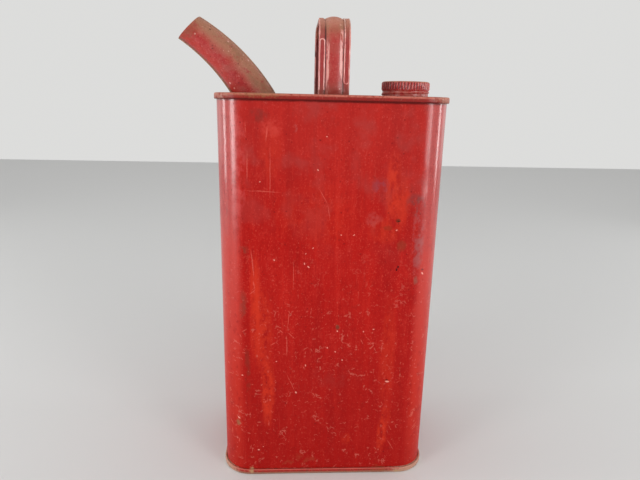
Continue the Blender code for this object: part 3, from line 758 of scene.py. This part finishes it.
# The dips between the ribs are painted darker.
cap_paint.lay((92, 16, 18), 0.75, on_band, cap_paint.band(reach, DIP_REACH, 0.32 * MM))
# Rubbed paint and painted highlight on the rib tops.
cap_paint.lay((220, 132, 124), 0.6, on_band, rib_tops, (rubbed, 0.40, 0.60))
cap_paint.lay((178, 116, 88), 0.75, top, (rubbed, 0.3, 0.55))
cap_paint.lay((176, 104, 88), 0.6, cap_paint.rise(0, -1, BAND_LOW), (rubbed, 0.38, 0.55))
cap_paint.lay((190, 124, 96), 0.7, cap_paint.band(cap_paint.z, BAND_LOW + 6.2 * MM, 0.7 * MM))
cap_paint.lay((166, 52, 44), 0.7, cap_paint.faces(0.5, 0.9),
              (cap_paint.grain(6, 5, 34), 0.50, 0.60))
cap_paint.dull(0.8, 0.8, top)
cap_paint.polish(0.05, top)
cap_paint.raise_by(cap_paint.grain(0.8, 3, 32), 0.04 * MM)
CAP_ENAMEL = cap_paint.done(specular=0.3, coat_roughness=0.25)

seal_rubber = Paint("seal_rubber", (34, 31, 29), 0.8)
seal_rubber.raise_by(seal_rubber.grain(1, 2, 41), 0.03 * MM)
SEAL = seal_rubber.done(specular=0.3)
FINISHES = {
    "body_paint": ENAMEL,
    "fittings_paint": SPOUT_ENAMEL,
    "cap_paint": CAP_ENAMEL,
    "seal": SEAL,
}

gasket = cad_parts["cap_gasket"]
gasket.data.materials.clear()
gasket.data.materials.append(SEAL)

# %% [markdown]
# ## Helpers for modelling by hand
# Each piece starts as a primitive, is shaped in edit mode and is finished with modifiers.
# An operator acts on all that is selected, so every step first picks what it changes.
# These small helpers do what a person does with the mouse: pick, move, turn and scale.

# %% Editing helpers
TOUCH = 1e-6
SMOOTH_ANGLE = 32
LEVEL = 0.9
UPRIGHT = 0.1


def only(piece):
    """Leave edit mode and select one piece alone."""
    if bpy.context.mode != "OBJECT":
        bpy.ops.object.mode_set(mode="OBJECT")
    bpy.ops.object.select_all(action="DESELECT")
    bpy.context.view_layer.objects.active = piece
    piece.select_set(True)


def pick_all(kind=None):
    """Select the whole mesh, as vertices, edges or faces."""
    if kind:
        bpy.ops.mesh.select_mode(type=kind)
    bpy.ops.mesh.select_all(action="SELECT")


def pick(kind, test):
    """Select only the vertices, edges or faces that pass a test."""
    bpy.ops.mesh.select_mode(type=kind)
    bpy.ops.mesh.select_all(action="DESELECT")
    cage = bmesh.from_edit_mesh(bpy.context.object.data)
    for part in {"VERT": cage.verts, "EDGE": cage.edges, "FACE": cage.faces}[kind]:
        part.select_set(test(part))
    cage.select_flush_mode()
    bmesh.update_edit_mesh(bpy.context.object.data)


def at_level(level):
    """A test for edges that lie all along at one height."""
    return lambda edge: all(abs(corner.co.z - level) < TOUCH for corner in edge.verts)


def begin(name, kind=None):
    """Name the new primitive, put its place in its mesh and select all of it to edit."""
    piece = bpy.context.object
    piece.name = name
    piece.data.name = name
    bpy.ops.object.transform_apply(location=True, rotation=True, scale=True)
    bpy.ops.object.mode_set(mode="EDIT")
    pick_all(kind)
    return piece


def open_again(piece):
    """Edit a piece that was left."""
    only(piece)
    bpy.ops.object.mode_set(mode="EDIT")
    pick_all()


def move(x=0, y=0, z=0):
    bpy.ops.transform.translate(value=(x, y, z))


def extrude(x=0, y=0, z=0):
    bpy.ops.mesh.extrude_region_move(TRANSFORM_OT_translate={"value": (x, y, z)})


def scale(centre, x=1, y=1, z=1):
    bpy.ops.transform.resize(value=(x, y, z), center_override=centre)


def turn(degrees, axis, centre):
    """Turn what is selected; without a window the operator turns the other way."""
    angle = -math.radians(degrees)
    bpy.ops.transform.rotate(value=angle, orient_axis=axis, center_override=centre)


def inset(width):
    bpy.ops.mesh.inset(thickness=width, depth=0, use_even_offset=True)


def soften(radius, steps):
    """Round the picked edges."""
    bpy.ops.mesh.bevel(offset=radius, segments=steps, affect="EDGES", clamp_overlap=True)


def face_out():
    """Let every face of a closed mesh look outwards."""
    pick_all()
    bpy.ops.mesh.normals_make_consistent(inside=False)


def close_up(reach=0.002 * MM):
    """Join what touches and let every face look outwards."""
    pick_all()
    bpy.ops.mesh.remove_doubles(threshold=reach)
    bpy.ops.mesh.normals_make_consistent(inside=False)


def fill_both_ends():
    """Put a face on the selected ring and then on the ring that is still open."""
    bpy.ops.mesh.edge_face_add()
    pick("EDGE", lambda e: len(e.link_faces) == 1)
    bpy.ops.mesh.edge_face_add()


def turn_sheet_over(piece, first, direction):
    """Flip an open sheet if its face that comes first looks away from a direction."""
    cage = bmesh.from_edit_mesh(piece.data)
    if min(cage.faces, key=first).normal.dot(direction) < 0:
        bpy.ops.mesh.flip_normals()


def finish_with(piece, kind, **settings):
    """Add a modifier and apply it at once."""
    only(piece)
    step = piece.modifiers.new(kind.lower(), kind)
    for setting, value in settings.items():
        setattr(step, setting, value)
    bpy.ops.object.modifier_apply(modifier=step.name)


def copy_of(piece, name):
    """A copy with a mesh of its own."""
    only(piece)
    bpy.ops.object.duplicate(linked=False)
    made = bpy.context.object
    made.name = name
    made.data.name = name
    return made


def hand_over(piece, body, slot, *nodes, paint=None):
    """Shade and paint a finished piece, put it on its body, and let it stand for frame nodes."""
    only(piece)
    bpy.ops.object.transform_apply(location=True, rotation=True, scale=True)
    bpy.ops.object.shade_smooth_by_angle(angle=math.radians(SMOOTH_ANGLE))
    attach(piece, body)
    piece.data.materials.clear()
    piece.data.materials.append(paint or FINISHES[slot])
    if nodes:
        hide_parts(*nodes)
    triangles = sum(len(face.vertices) - 2 for face in piece.data.polygons)
    low = [round(min(v.co[i] for v in piece.data.vertices) / MM, 1) for i in range(3)]
    high = [round(max(v.co[i] for v in piece.data.vertices) / MM, 1) for i in range(3)]
    print(piece.name, triangles, "triangles, from", low, "to", high)


# %% [markdown]
# Wall, lid and bottom share one outline: a rectangle with round corners. It starts as a
# plane, whose four corners are bevelled. The long sides are then cut into short edges,
# because a sheet with no vertices along it couldn't have a dent or a wavy seam later.

# %% The shared outline
CORNER_STEPS = 14
FRONT_CUTS = 39
SIDE_CUTS = 21
NEAR_EDGE = 0.9


def rounded_plate(name, out, level):
    """The body's outline, moved out from the wall's middle, as one flat face."""
    middle = Vector((BODY_X, 0, level))
    bpy.ops.mesh.primitive_plane_add(size=1, location=middle)
    piece = begin(name)
    size = Vector((BODY_WIDTH + 2 * out, BODY_DEPTH + 2 * out))
    scale(middle, *size, 1)
    bpy.ops.mesh.bevel(offset=CORNER_RADIUS + out, segments=CORNER_STEPS, affect="VERTICES")
    for end in (-1, 1):
        for axis, cuts in ((1, FRONT_CUTS), (0, SIDE_CUTS)):
            edge_of = NEAR_EDGE * size[axis] / 2
            pick("EDGE", lambda e: e.calc_length() > CORNER_RADIUS and all(
                end * (v.co[axis] - middle[axis]) > edge_of for v in e.verts))
            bpy.ops.mesh.subdivide(number_cuts=cuts)
    pick_all("FACE")
    return piece


# %% [markdown]
# ## The walls
# On the real can this is one sheet, bent round and locked together down the back. The
# outline loses its face and its edges are pulled up in short steps, like drawing a tube.
# Old tinplate is never flat. A few soft knocks are pushed in with proportional editing,
# and a very small ripple from a noise goes over the rest.

# %% Can walls
WALL_ROWS = 52
WALL_END = 0.8 * MM
RIPPLE = 0.10 * MM
RIPPLE_SIZE = 26 * MM
# The place in metres, the push and how far it reaches in mm
KNOCKS = (
    ((0.0785, -0.0440, 0.252), (-0.55, 0.45, 0), 13),
    ((0.0800, -0.0480, 0.222), (-0.35, 0.35, 0), 9),
    ((0.0815, -0.0430, 0.150), (-0.40, 0.30, 0), 16),
    ((-0.0660, -0.0420, 0.236), (0.40, 0.30, 0), 8),
    ((-0.0620, -0.0470, 0.060), (0.30, 0.40, 0), 15),
    ((0.0200, -0.0527, 0.170), (0, 0.45, 0), 55),
    ((0.0100, 0.0527, 0.190), (0, -0.60, 0), 60),
    ((0.0560, 0.0527, 0.080), (0, -0.80, 0), 22),
    ((0.0992, 0.0100, 0.200), (-0.50, 0, 0), 40),
    ((-0.0710, 0.0050, 0.130), (0.60, 0, 0), 38),
)

walls = rounded_plate("can_walls", SHEET / 2, WALL_END)
bpy.ops.mesh.delete(type="ONLY_FACE")
pick_all("EDGE")
for row in range(WALL_ROWS):
    extrude(z=(RIM_TOP - 2 * WALL_END) / WALL_ROWS)
face_out()

for at, push, reach in KNOCKS:
    spot = Vector(at)
    cage = bmesh.from_edit_mesh(walls.data)
    nearest = min((v.co - spot).length for v in cage.verts)
    pick("VERT", lambda v: (v.co - spot).length < nearest + TOUCH)
    bpy.ops.transform.translate(
        value=[part * MM for part in push], use_proportional_edit=True,
        proportional_edit_falloff="SMOOTH", proportional_size=reach * MM)
only(walls)
for vertex in walls.data.vertices:
    wave = noise.noise(vertex.co / RIPPLE_SIZE)
    vertex.co -= vertex.normal * RIPPLE * (1 + wave) / 2
finish_with(walls, "SOLIDIFY", thickness=SHEET, offset=-1)

# %% [markdown]
# Where the sheet's two edges meet at the back they are folded into each other, which
# leaves a flat raised strip. A cube stretched to the strip's size and bevelled is enough,
# because the fold is pressed flat. It stops short of both rims, as the real one does.

# %% Lock seam on the back
FOLD_WIDTH = 6 * MM
FOLD_HEIGHT = 0.7 * MM
FOLD_MARGIN = 6 * MM
FOLD_ROUND = 0.3 * MM

fold_middle = Vector((BODY_X, BODY_DEPTH / 2, RIM_TOP / 2))
bpy.ops.mesh.primitive_cube_add(size=1, location=fold_middle)
fold = begin("lock_seam")
scale(fold_middle, FOLD_WIDTH, 2 * FOLD_HEIGHT, RIM_TOP - 2 * FOLD_MARGIN)
pick("EDGE", lambda e: all(v.co.y > fold_middle.y for v in e.verts))
soften(FOLD_ROUND, steps=3)
hand_over(fold, "can", "body_paint")
hand_over(walls, "can", "body_paint", "body_shell")

# %% [markdown]
# ## Lid and bottom
# Both are shallow trays whose edge is rolled over the wall's edge into a double seam.
# The outline is pulled up to the seam's height, and the top face is inset and pushed down
# to make the tray. Underneath, a narrow channel takes the wall's edge. Bevels then round
# the crest, the lower edge and the tray's fillet, which is quicker than drawing arcs.

# %% A rolled tray
SEAM_HEIGHT = 4.5 * MM
CREST_WIDTH = 2.95 * MM
CREST_ROUND = 1.4 * MM
CREST_SKIN = 0.5 * MM
CHANNEL_INSET = 1.62 * MM
CHANNEL_WIDTH = 0.85 * MM
RIM_CURL = 1.1 * MM
DENT = 0.22 * MM
DENT_SIZE = 12 * MM
SIDEWAYS = 0.3


def rolled_tray(name, recess):
    """A tray with a double-seamed rim, its rim's top at the can's top."""
    low = RIM_TOP - SEAM_HEIGHT
    tray = rounded_plate(name, RIM_REACH, low)
    extrude(z=SEAM_HEIGHT)
    inset(CREST_WIDTH)
    extrude(z=-recess)
    pick("FACE", lambda f: f.normal.z < -LEVEL and abs(f.calc_center_median().z - low) < TOUCH)
    inset(CHANNEL_INSET)
    extrude(z=SEAM_HEIGHT - CREST_SKIN)
    inset(CHANNEL_WIDTH)
    extrude(z=CREST_SKIN - recess - SHEET)
    pick("EDGE", at_level(RIM_TOP))
    soften(CREST_ROUND, steps=6)
    pick("EDGE", lambda e: at_level(low)(e) and any(
        len(f.verts) == 4 and abs(f.normal.z) < UPRIGHT for f in e.link_faces))
    soften(RIM_CURL, steps=5)
    pick("EDGE", at_level(RIM_TOP - recess))
    soften(CREST_ROUND, steps=4)
    return tray


def knock_about(tray):
    """Push the rim's outer side in here and there, as years of handling did."""
    only(tray)
    for vertex in tray.data.vertices:
        outward = vertex.normal * Vector((1, 1, 0))
        dent = (1 + noise.noise(vertex.co / DENT_SIZE)) / 2
        if outward.length > SIDEWAYS:
            vertex.co -= outward * dent * DENT


lid = rolled_tray("lid", LID_RECESS)
knock_about(lid)

# %% [markdown]
# Fuel has to get in and out, so the lid is pierced under the neck and under the spout.
# Each hole is cut with a short cylinder, stretched to an oval where the spout leans.

# %% Holes in the lid
HOLE_SIDES = 64
PUNCH_DEPTH = 2 * MM
NECK_HOLE = (17.0 * MM, 17.0 * MM)
SPOUT_HOLE = (14.66 * MM, 12.7 * MM)

for name, x, half_axes, degrees in (
        ("neck_hole", CAP_X, NECK_HOLE, 0), ("spout_hole", SPOUT_X, SPOUT_HOLE, SPOUT_SWING)):
    middle = (x, 0, LID_TOP)
    bpy.ops.mesh.primitive_cylinder_add(
        vertices=HOLE_SIDES, radius=1, depth=PUNCH_DEPTH, location=middle)
    punch = begin(name)
    scale(middle, *half_axes, 1)
    turn(degrees, "Z", middle)
    finish_with(lid, "BOOLEAN", object=punch, operation="DIFFERENCE", solver="EXACT")
    bpy.data.objects.remove(punch)
hand_over(lid, "can", "body_paint", "top_end")

# %% [markdown]
# The bottom is the same tray turned over. Its panel has one raised step, pressed in to
# stiffen it, so two more insets follow before the tray is mirrored down to the floor.
# A mirrored mesh is inside out, so its normals are worked out again.

# %% Bottom
BOTTOM_RECESS = 5.2 * MM
STEP_INSET = 7 * MM
STEP_RUN = 1.5 * MM
STEP_HEIGHT = 1.2 * MM

bottom = rolled_tray("bottom", BOTTOM_RECESS)
pick("FACE", lambda f: f.normal.z > LEVEL and len(f.verts) > 4
     and f.calc_center_median().z > RIM_TOP - BOTTOM_RECESS - TOUCH)
inset(STEP_INSET)
inset(STEP_RUN)
move(z=STEP_HEIGHT)
pick_all()
scale((0, 0, RIM_TOP / 2), z=-1)
face_out()
knock_about(bottom)
hand_over(bottom, "can", "body_paint", "bottom_end")

# %% [markdown]
# ## The spout
# The real spout is two pressed halves, soldered together along their turned-out lips.
# Half a circle with a lip at both ends is the inner face of one half. It is pulled along
# the spout's axis in short steps, and at each one it leans a little further and shrinks.

# %% One half of the spout
SPOUT_BASE = Vector((SPOUT_X, 0, SEAT))
SPOUT_SHEET = 0.6 * MM
SPOUT_LENGTH = 72.3 * MM
BASE_LEAN = 30
MOUTH_LEAN = 59
MOUTH_RAKE = 15
BASE_RADIUS = 14.5 * MM
MOUTH_RADIUS = 10.3 * MM
SPOUT_LIP = 1.0 * MM
SPOUT_FLANGE = 2.6 * MM
SPOUT_STEPS = 24
ROOT_STEPS = 5
HALF_GAP = 0.15 * MM
HALF_RING = 32

stride = SPOUT_LENGTH / SPOUT_STEPS
lean_step = (MOUTH_LEAN - BASE_LEAN) / SPOUT_STEPS
radius_step = (MOUTH_RADIUS - BASE_RADIUS) / SPOUT_STEPS
inner = BASE_RADIUS - SPOUT_SHEET


def along_lean(lean, length):
    """A step in the direction that leans from upright towards the spout's mouth."""
    lean = math.radians(lean)
    return Vector((-math.sin(lean), 0, math.cos(lean))) * length


axis_point = SPOUT_BASE - along_lean(BASE_LEAN, stride * ROOT_STEPS)
bpy.ops.mesh.primitive_circle_add(vertices=2 * HALF_RING, radius=inner, location=axis_point)
front_half = begin("spout_front")
pick("VERT", lambda v: v.co.y > TOUCH)
bpy.ops.mesh.delete(type="VERT")
for end in (-1, 1):
    pick("VERT", lambda v: end * (v.co.x - axis_point.x) > inner - TOUCH)
    extrude(x=end * (SPOUT_LIP + SPOUT_SHEET))
pick_all("EDGE")
turn(-BASE_LEAN, "Y", axis_point)
lean, radius = BASE_LEAN, BASE_RADIUS
for ring in range(ROOT_STEPS + SPOUT_STEPS + 1):
    bending = 0 if ring < ROOT_STEPS else 1
    step = along_lean(lean + bending * lean_step / 2, stride)
    extrude(*step)
    axis_point = axis_point + step
    turn(-bending * lean_step, "Y", axis_point)
    shrink = (radius + bending * radius_step) / radius
    scale(axis_point, shrink, shrink, shrink)
    lean += bending * lean_step
    radius += bending * radius_step
    if ring == ROOT_STEPS + SPOUT_STEPS - 1:
        mouth = axis_point
print("spout mouth at", [round(c / MM, 1) for c in mouth])

# %% [markdown]
# The tube starts below the lid and runs past its mouth, so that both ends can be cut clean
# with a plane. The cut at the lid leaves the right oval for nothing. That oval's edge is
# then pulled outwards into the flange that is soldered to the lid.

# %% Trim both ends, turn out the flange
SPOUT_MIDDLE = 340 * MM

pick_all()
bpy.ops.mesh.bisect(plane_co=SPOUT_BASE, plane_no=(0, 0, 1), clear_inner=True)
pick_all()
bpy.ops.mesh.bisect(
    plane_co=mouth, plane_no=along_lean(MOUTH_LEAN - MOUTH_RAKE, 1), clear_outer=True)
pick("EDGE", at_level(SPOUT_BASE.z))
bpy.ops.mesh.extrude_region_move()
spread = 1 + SPOUT_FLANGE / BASE_RADIUS
scale(SPOUT_BASE, spread, spread, 1)
face_out()
turn_sheet_over(
    front_half, lambda f: f.calc_center_median().y + abs(f.calc_center_median().z - SPOUT_MIDDLE),
    Vector((0, -1, 0)))
move(y=-HALF_GAP)
finish_with(front_half, "SOLIDIFY", thickness=SPOUT_SHEET, offset=1, use_even_offset=True)

rear_half = copy_of(front_half, "spout_rear")
open_again(rear_half)
scale((0, 0, 0), y=-1)
face_out()
for half, node in ((front_half, "spout_front_half"), (rear_half, "spout_rear_half")):
    open_again(half)
    turn(SPOUT_SWING, "Z", SPOUT_BASE)
    hand_over(half, "can", "fittings_paint", node)
    low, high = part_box(node)
    print("  frame", [[round(c / MM, 1) for c in end] for end in (low, high)])

# %% [markdown]
# ## Beads
# Thin round lines turn up on several pieces: solder along a flange, the pressed outline on
# the handle, the rolled thread of the cap. Each is a path with a round section, sunk
# halfway into the sheet so that only a low bead shows.

# %% Beads along a path and round a screw
BEAD_SIDES = 10
THREAD_PITCH = 3.5 * MM
SCREW_STEP = 6
FADE_STEPS = 5
THIN_END = 0.15


def bead(name, points, radius, closed=False):
    """A round line through points, turned into a mesh."""
    bpy.ops.curve.primitive_nurbs_path_add(location=(0, 0, 0))
    line = bpy.context.object
    line.name = name
    line.data.splines.clear()
    spline = line.data.splines.new("POLY")
    spline.points.add(len(points) - 1)
    for point, place in zip(spline.points, points):
        point.co = (*place, 1)
    spline.use_cyclic_u = closed
    line.data.bevel_depth = radius
    line.data.bevel_resolution = 2
    line.data.use_fill_caps = not closed
    bpy.ops.object.convert(target="MESH")
    made = bpy.context.object
    made.data.name = name
    return made


def screw_bead(name, radius, thickness, start, sweep, low):
    """A bead that climbs round the cap's axis from an angle, 0 in front, and fades at its ends."""
    steps = round(sweep / SCREW_STEP)
    climb = THREAD_PITCH * sweep / steps / 360
    axis = Vector((CAP_X, 0, 0))
    bpy.ops.mesh.primitive_circle_add(
        vertices=BEAD_SIDES, radius=thickness, location=(CAP_X, -radius, low),
        rotation=(0, math.pi / 2, 0))
    piece = begin(name, "EDGE")
    turn(start, "Z", axis)
    size = 1
    for step in range(steps + 1):
        if step:
            extrude(z=climb)
            turn(sweep / steps, "Z", axis)
        angle = math.radians(start + step * sweep / steps)
        reach = Vector((math.sin(angle), -math.cos(angle), 0)) * radius
        middle = axis + reach + Vector((0, 0, low + step * climb))
        wanted = min(1, THIN_END + (1 - THIN_END) * min(step, steps - step) / FADE_STEPS)
        scale(middle, wanted / size, wanted / size, wanted / size)
        size = wanted
    face_out()
    return piece


# %% [markdown]
# ## The handle
# One strap is bent over a form: a rib down its middle and folded edges keep it stiff.
# Its section starts as a row of points at the top of the arch. It is pulled towards the
# front, swept round the shoulder, pulled down the leg and turned out into a foot. The
# rear side is a mirror image.

# %% Handle strap
STRAP_WIDTH = 22.8 * MM
STRAP_SHEET = 0.9 * MM
STRAP_POINTS = 38
STRAP_SPAN = 76 * MM
CROWN = RIM_TOP + 53.2 * MM
CROWN_STEPS = 4
SHOULDER = 17 * MM
SHOULDER_STEPS = 12
LEG_ROWS = 10
LEG_FOLD = 4 * MM
RIB_HALF = 6.6 * MM
RIB_HEIGHT = 1.7 * MM
HEM_WIDTH = 4.2 * MM
HEM_HEIGHT = 0.6 * MM
HEM_SLOPE = 0.3 * MM
TURNED_EDGE = 0.1 * MM
ANKLE = 2.5 * MM
ANKLE_STEPS = 5
FOOT_TIP = 47 * MM
TOE = 2 * MM
STRAP_ROUND = 0.25 * MM
ROUNDED_FROM = 40

leg_y = -STRAP_SPAN / 2
sole = SEAT + STRAP_SHEET
shoulder_low = CROWN - SHOULDER


def strap_height(across):
    """How far the strap's outer face stands out, at a place across its width."""
    across = abs(across)
    if across < RIB_HALF:
        return RIB_HEIGHT * (1 - (across / RIB_HALF) ** 2)
    from_edge = STRAP_WIDTH / 2 - across
    if from_edge < TURNED_EDGE:
        return -STRAP_SHEET
    return HEM_HEIGHT if from_edge < HEM_WIDTH - HEM_SLOPE else 0


def sweep(degrees, centre, steps):
    """Sweep what is selected round an axis along X; like turn, the operator goes backwards."""
    angle = -math.radians(degrees)
    bpy.ops.mesh.spin(steps=steps, angle=angle, center=centre, axis=(1, 0, 0))


bpy.ops.mesh.primitive_grid_add(
    x_subdivisions=STRAP_POINTS, y_subdivisions=1, size=STRAP_WIDTH, location=(BODY_X, 0, CROWN))
strap = begin("strap_handle")
pick("VERT", lambda v: v.co.y > 0)
bpy.ops.mesh.delete(type="VERT")
pick_all()
scale((BODY_X, 0, CROWN), y=0)
for column in range(STRAP_POINTS + 1):
    across = STRAP_WIDTH * (column / STRAP_POINTS - 0.5)
    pick("VERT", lambda v: abs(v.co.x - BODY_X - across) < TOUCH * 10)
    move(z=strap_height(across))
pick_all("EDGE")
for step in range(CROWN_STEPS):
    extrude(y=(leg_y + SHOULDER) / CROWN_STEPS)
sweep(90, (BODY_X, leg_y + SHOULDER, shoulder_low), SHOULDER_STEPS)
for row in range(LEG_ROWS):
    extrude(z=-(shoulder_low - sole - ANKLE - LEG_FOLD) / LEG_ROWS)
extrude(z=-LEG_FOLD)
scale((BODY_X, leg_y, 0), y=0)
sweep(-90, (BODY_X, leg_y - ANKLE, sole + ANKLE), ANKLE_STEPS)
extrude(y=TOE - (FOOT_TIP + leg_y - ANKLE))
extrude(y=-TOE)
scale((BODY_X, 0, 0), x=1 - 2 * TOE / STRAP_WIDTH)
close_up(0.01 * MM)
turn_sheet_over(strap, lambda f: -f.calc_center_median().z, Vector((0, 0, 1)))
finish_with(strap, "MIRROR", use_axis=(False, True, False))
finish_with(strap, "SOLIDIFY", thickness=STRAP_SHEET, offset=-1, use_even_offset=True)
finish_with(
    strap, "BEVEL", width=STRAP_ROUND, segments=2, limit_method="ANGLE",
    angle_limit=math.radians(ROUNDED_FROM))
hand_over(strap, "can", "fittings_paint", "handle_strap", paint=HANDLE_ENAMEL)

# %% [markdown]
# Both folded edges carry a pressed outline. On the right it is a long U that ends above the
# lid; on the left it is turned over and runs down behind the rim. The outlines are beads
# along the leg, round the shoulder and over the arch.

# %% Pressed outlines on the handle
OUTLINE_RADIUS = 0.55 * MM
OUTLINE_IN = 7.2 * MM
OUTLINE_OUT = 10.7 * MM
RIGHT_END = RIM_TOP + 9.5 * MM
LEFT_END = RIM_TOP + 36 * MM
LEFT_START = SEAT + 8 * MM
OUTLINE_SUNK = 0.45
LINE_STEPS = 30
ARC_STEPS = 10
QUARTER = SHOULDER * math.pi / 2


def strap_surface(across, distance):
    """A point on the folded edge, a distance down from the start of the shoulder."""
    lift = HEM_HEIGHT - OUTLINE_RADIUS * OUTLINE_SUNK
    if distance >= 0:
        return Vector((BODY_X + across, leg_y - lift, shoulder_low - distance))
    angle = min(math.pi / 2, -distance / SHOULDER)
    centre = Vector((BODY_X + across, leg_y + SHOULDER, shoulder_low))
    point = centre + Vector((0, -math.cos(angle), math.sin(angle))) * (SHOULDER + lift)
    return point + Vector((0, max(0, -distance - QUARTER), 0))


def outline_path(side, end_level, bend_down):
    """Up one line, round the end and back along the other."""
    middle = side * (OUTLINE_IN + OUTLINE_OUT) / 2
    half = (OUTLINE_OUT - OUTLINE_IN) / 2
    end = shoulder_low - end_level
    start = shoulder_low - LEFT_START if bend_down else leg_y + SHOULDER - QUARTER
    sign = -1 if bend_down else 1
    run = [start + (end - start) * k / LINE_STEPS for k in range(LINE_STEPS + 1)]
    arc = [math.pi * k / ARC_STEPS for k in range(1, ARC_STEPS)]
    path = [strap_surface(middle - half, distance) for distance in run]
    for a in arc:
        path.append(strap_surface(middle - half * math.cos(a), end + sign * half * math.sin(a)))
    return path + [strap_surface(middle + half, distance) for distance in reversed(run)]


for name, side, end_level, bend_down in (
        ("handle_outline_right", 1, RIGHT_END, False), ("handle_outline_left", -1, LEFT_END, True)):
    outline = bead(name, outline_path(side, end_level, bend_down), OUTLINE_RADIUS)
    hand_over(outline, "can", "fittings_paint", paint=LINE_ENAMEL)

# %% [markdown]
# ## Neck and cap
# Both are round, so each starts as a circle and is drawn ring by ring: pull up, or scale
# in or out. The cap's ribs come from the same vertices, four to a rib: on the knurled
# band every second pair of them is pulled in.

# %% Turned pieces
CAP_TOP = RIM_TOP + 11.7 * MM
CAP_LOW = CAP_TOP - 10.9 * MM
BAND_LEVELS = (CAP_TOP - 5.9 * MM, CAP_TOP - 1.5 * MM)
WAIST = CAP_RADIUS - 0.8 * MM
KNURLS = 50
KNURL_SIDES = 4
KNURL_DEPTH = 0.5 * MM
NECK_RADIUS = 16.7 * MM
NECK_SIDES = 96
NECK_TOP = CAP_TOP - 3.2 * MM


def drawn(name, centre_x, sides, radius, level, profile):
    """A round piece drawn through rings, each so many mm out and up from radius and level."""
    rings = [(radius + out * MM, level + up * MM) for out, up in profile]
    bpy.ops.mesh.primitive_circle_add(
        vertices=sides, radius=rings[0][0], location=(centre_x, 0, rings[0][1]))
    piece = begin(name, "EDGE")
    for (radius, level), (new_radius, new_level) in zip(rings, rings[1:]):
        extrude(z=new_level - level)
        scale((centre_x, 0, new_level), new_radius / radius, new_radius / radius, 1)
    return piece


def in_a_dip(vertex):
    """Whether a vertex of the knurled band lies in a dip between two ribs."""
    turned = math.atan2(vertex.co.y, vertex.co.x - CAP_X) / (2 * math.pi)
    on_band = any(abs(vertex.co.z - level) < TOUCH for level in BAND_LEVELS)
    return on_band and round(turned * KNURLS * KNURL_SIDES) % KNURL_SIDES >= KNURL_SIDES / 2


neck_height = (NECK_TOP - SEAT) / MM
neck = drawn("neck", CAP_X, NECK_SIDES, NECK_RADIUS, SEAT, (
    (-0.6, -1.8), (0, -1.8), (0, 0), (3.2, 0), (3.2, 0.5), (1.0, 0.6), (0.3, 0.9), (0, 1.6),
    (0, neck_height - 0.3), (-0.3, neck_height), (-0.6, neck_height - 0.3), (-0.6, -1.8)))
close_up()
hand_over(neck, "can", "fittings_paint", "filler_neck")
thread = screw_bead(
    "neck_thread", NECK_RADIUS, 0.7 * MM, start=-150, sweep=560, low=NECK_TOP - 7.6 * MM)
hand_over(thread, "can", "fittings_paint")

cap = drawn("screw_cap", CAP_X, KNURLS * KNURL_SIDES, CAP_RADIUS, CAP_TOP, (
    (-1.36, -0.6), (-1.36, -10.9), (-0.8, -10.9), (-0.8, -7.2), (-0.3, -6.4), (0, -5.9),
    (0, -1.5), (-0.25, -0.7), (-0.75, -0.2), (-1.4, 0), (-2.4, 0), (-3.0, -0.35)))
fill_both_ends()
pick("VERT", in_a_dip)
dip = 1 - KNURL_DEPTH / CAP_RADIUS
scale((CAP_X, 0, 0), dip, dip, 1)
close_up()
hand_over(cap, "cap", "cap_paint", "filler_cap")
cap_roll = screw_bead(
    "cap_thread_roll", WAIST - 0.15 * MM, 0.85 * MM, start=-128, sweep=300, low=CAP_LOW + 1 * MM)
hand_over(cap_roll, "cap", "cap_paint")

# %% [markdown]
# ## Solder and welds
# Spout and neck are soldered to the lid all round. The solder is a closed bead that rises
# and sinks a little, as it does when it is run round by hand. Each foot of the handle is
# held by two spot welds, shallow dimples with a raised edge: one is drawn and the others
# are copies of it.

# %% Solder and spot welds
SOLDER_RADIUS = 0.8 * MM
SOLDER_POINTS = 72
SOLDER_WAVE = 0.25 * MM
SOLDER_WAVE_SIZE = 4 * MM
SPOUT_FLANGE_REACH = (19.9 * MM, 17.3 * MM)
NECK_FLANGE_REACH = (NECK_RADIUS + 3.4 * MM, NECK_RADIUS + 3.4 * MM)
WELD_SIDES = 24
WELD_RADIUS = 1.9 * MM
# How far out from that radius and up from the foot, in mm
WELD_PROFILE = ((0, -0.1), (0, 0.125), (-0.475, 0.25), (-1.14, 0.25 / 3))
WELD_ASIDE = 6 * MM
WELD_AHEAD = 43.6 * MM


def solder_path(centre_x, reach, turned):
    """An oval round a flange, lying on the lid, a little uneven."""
    swing = Matrix.Rotation(math.radians(turned), 3, "Z")
    path = []
    for k in range(SOLDER_POINTS):
        angle = 2 * math.pi * k / SOLDER_POINTS
        place = swing @ Vector((reach[0] * math.cos(angle), reach[1] * math.sin(angle), LID_TOP))
        place.x += centre_x
        place.z += SOLDER_WAVE * noise.noise(place / SOLDER_WAVE_SIZE)
        path.append(place)
    return path


for name, x, reach, turned in (
        ("spout_solder", SPOUT_X, SPOUT_FLANGE_REACH, SPOUT_SWING),
        ("neck_solder", CAP_X, NECK_FLANGE_REACH, 0)):
    solder = bead(name, solder_path(x, reach, turned), SOLDER_RADIUS, closed=True)
    hand_over(solder, "can", "fittings_paint")

weld = drawn("foot_weld_1", BODY_X, WELD_SIDES, WELD_RADIUS, sole, WELD_PROFILE)
fill_both_ends()
close_up()
move(x=-WELD_ASIDE, y=-WELD_AHEAD)
hand_over(weld, "can", "fittings_paint", paint=HANDLE_ENAMEL)
for number, (x, y) in enumerate(((1, 0), (0, 1), (1, 1)), start=2):
    other = copy_of(weld, f"foot_weld_{number}")
    open_again(other)
    move(x=x * 2 * WELD_ASIDE, y=y * 2 * WELD_AHEAD)
    hand_over(other, "can", "fittings_paint", paint=HANDLE_ENAMEL)
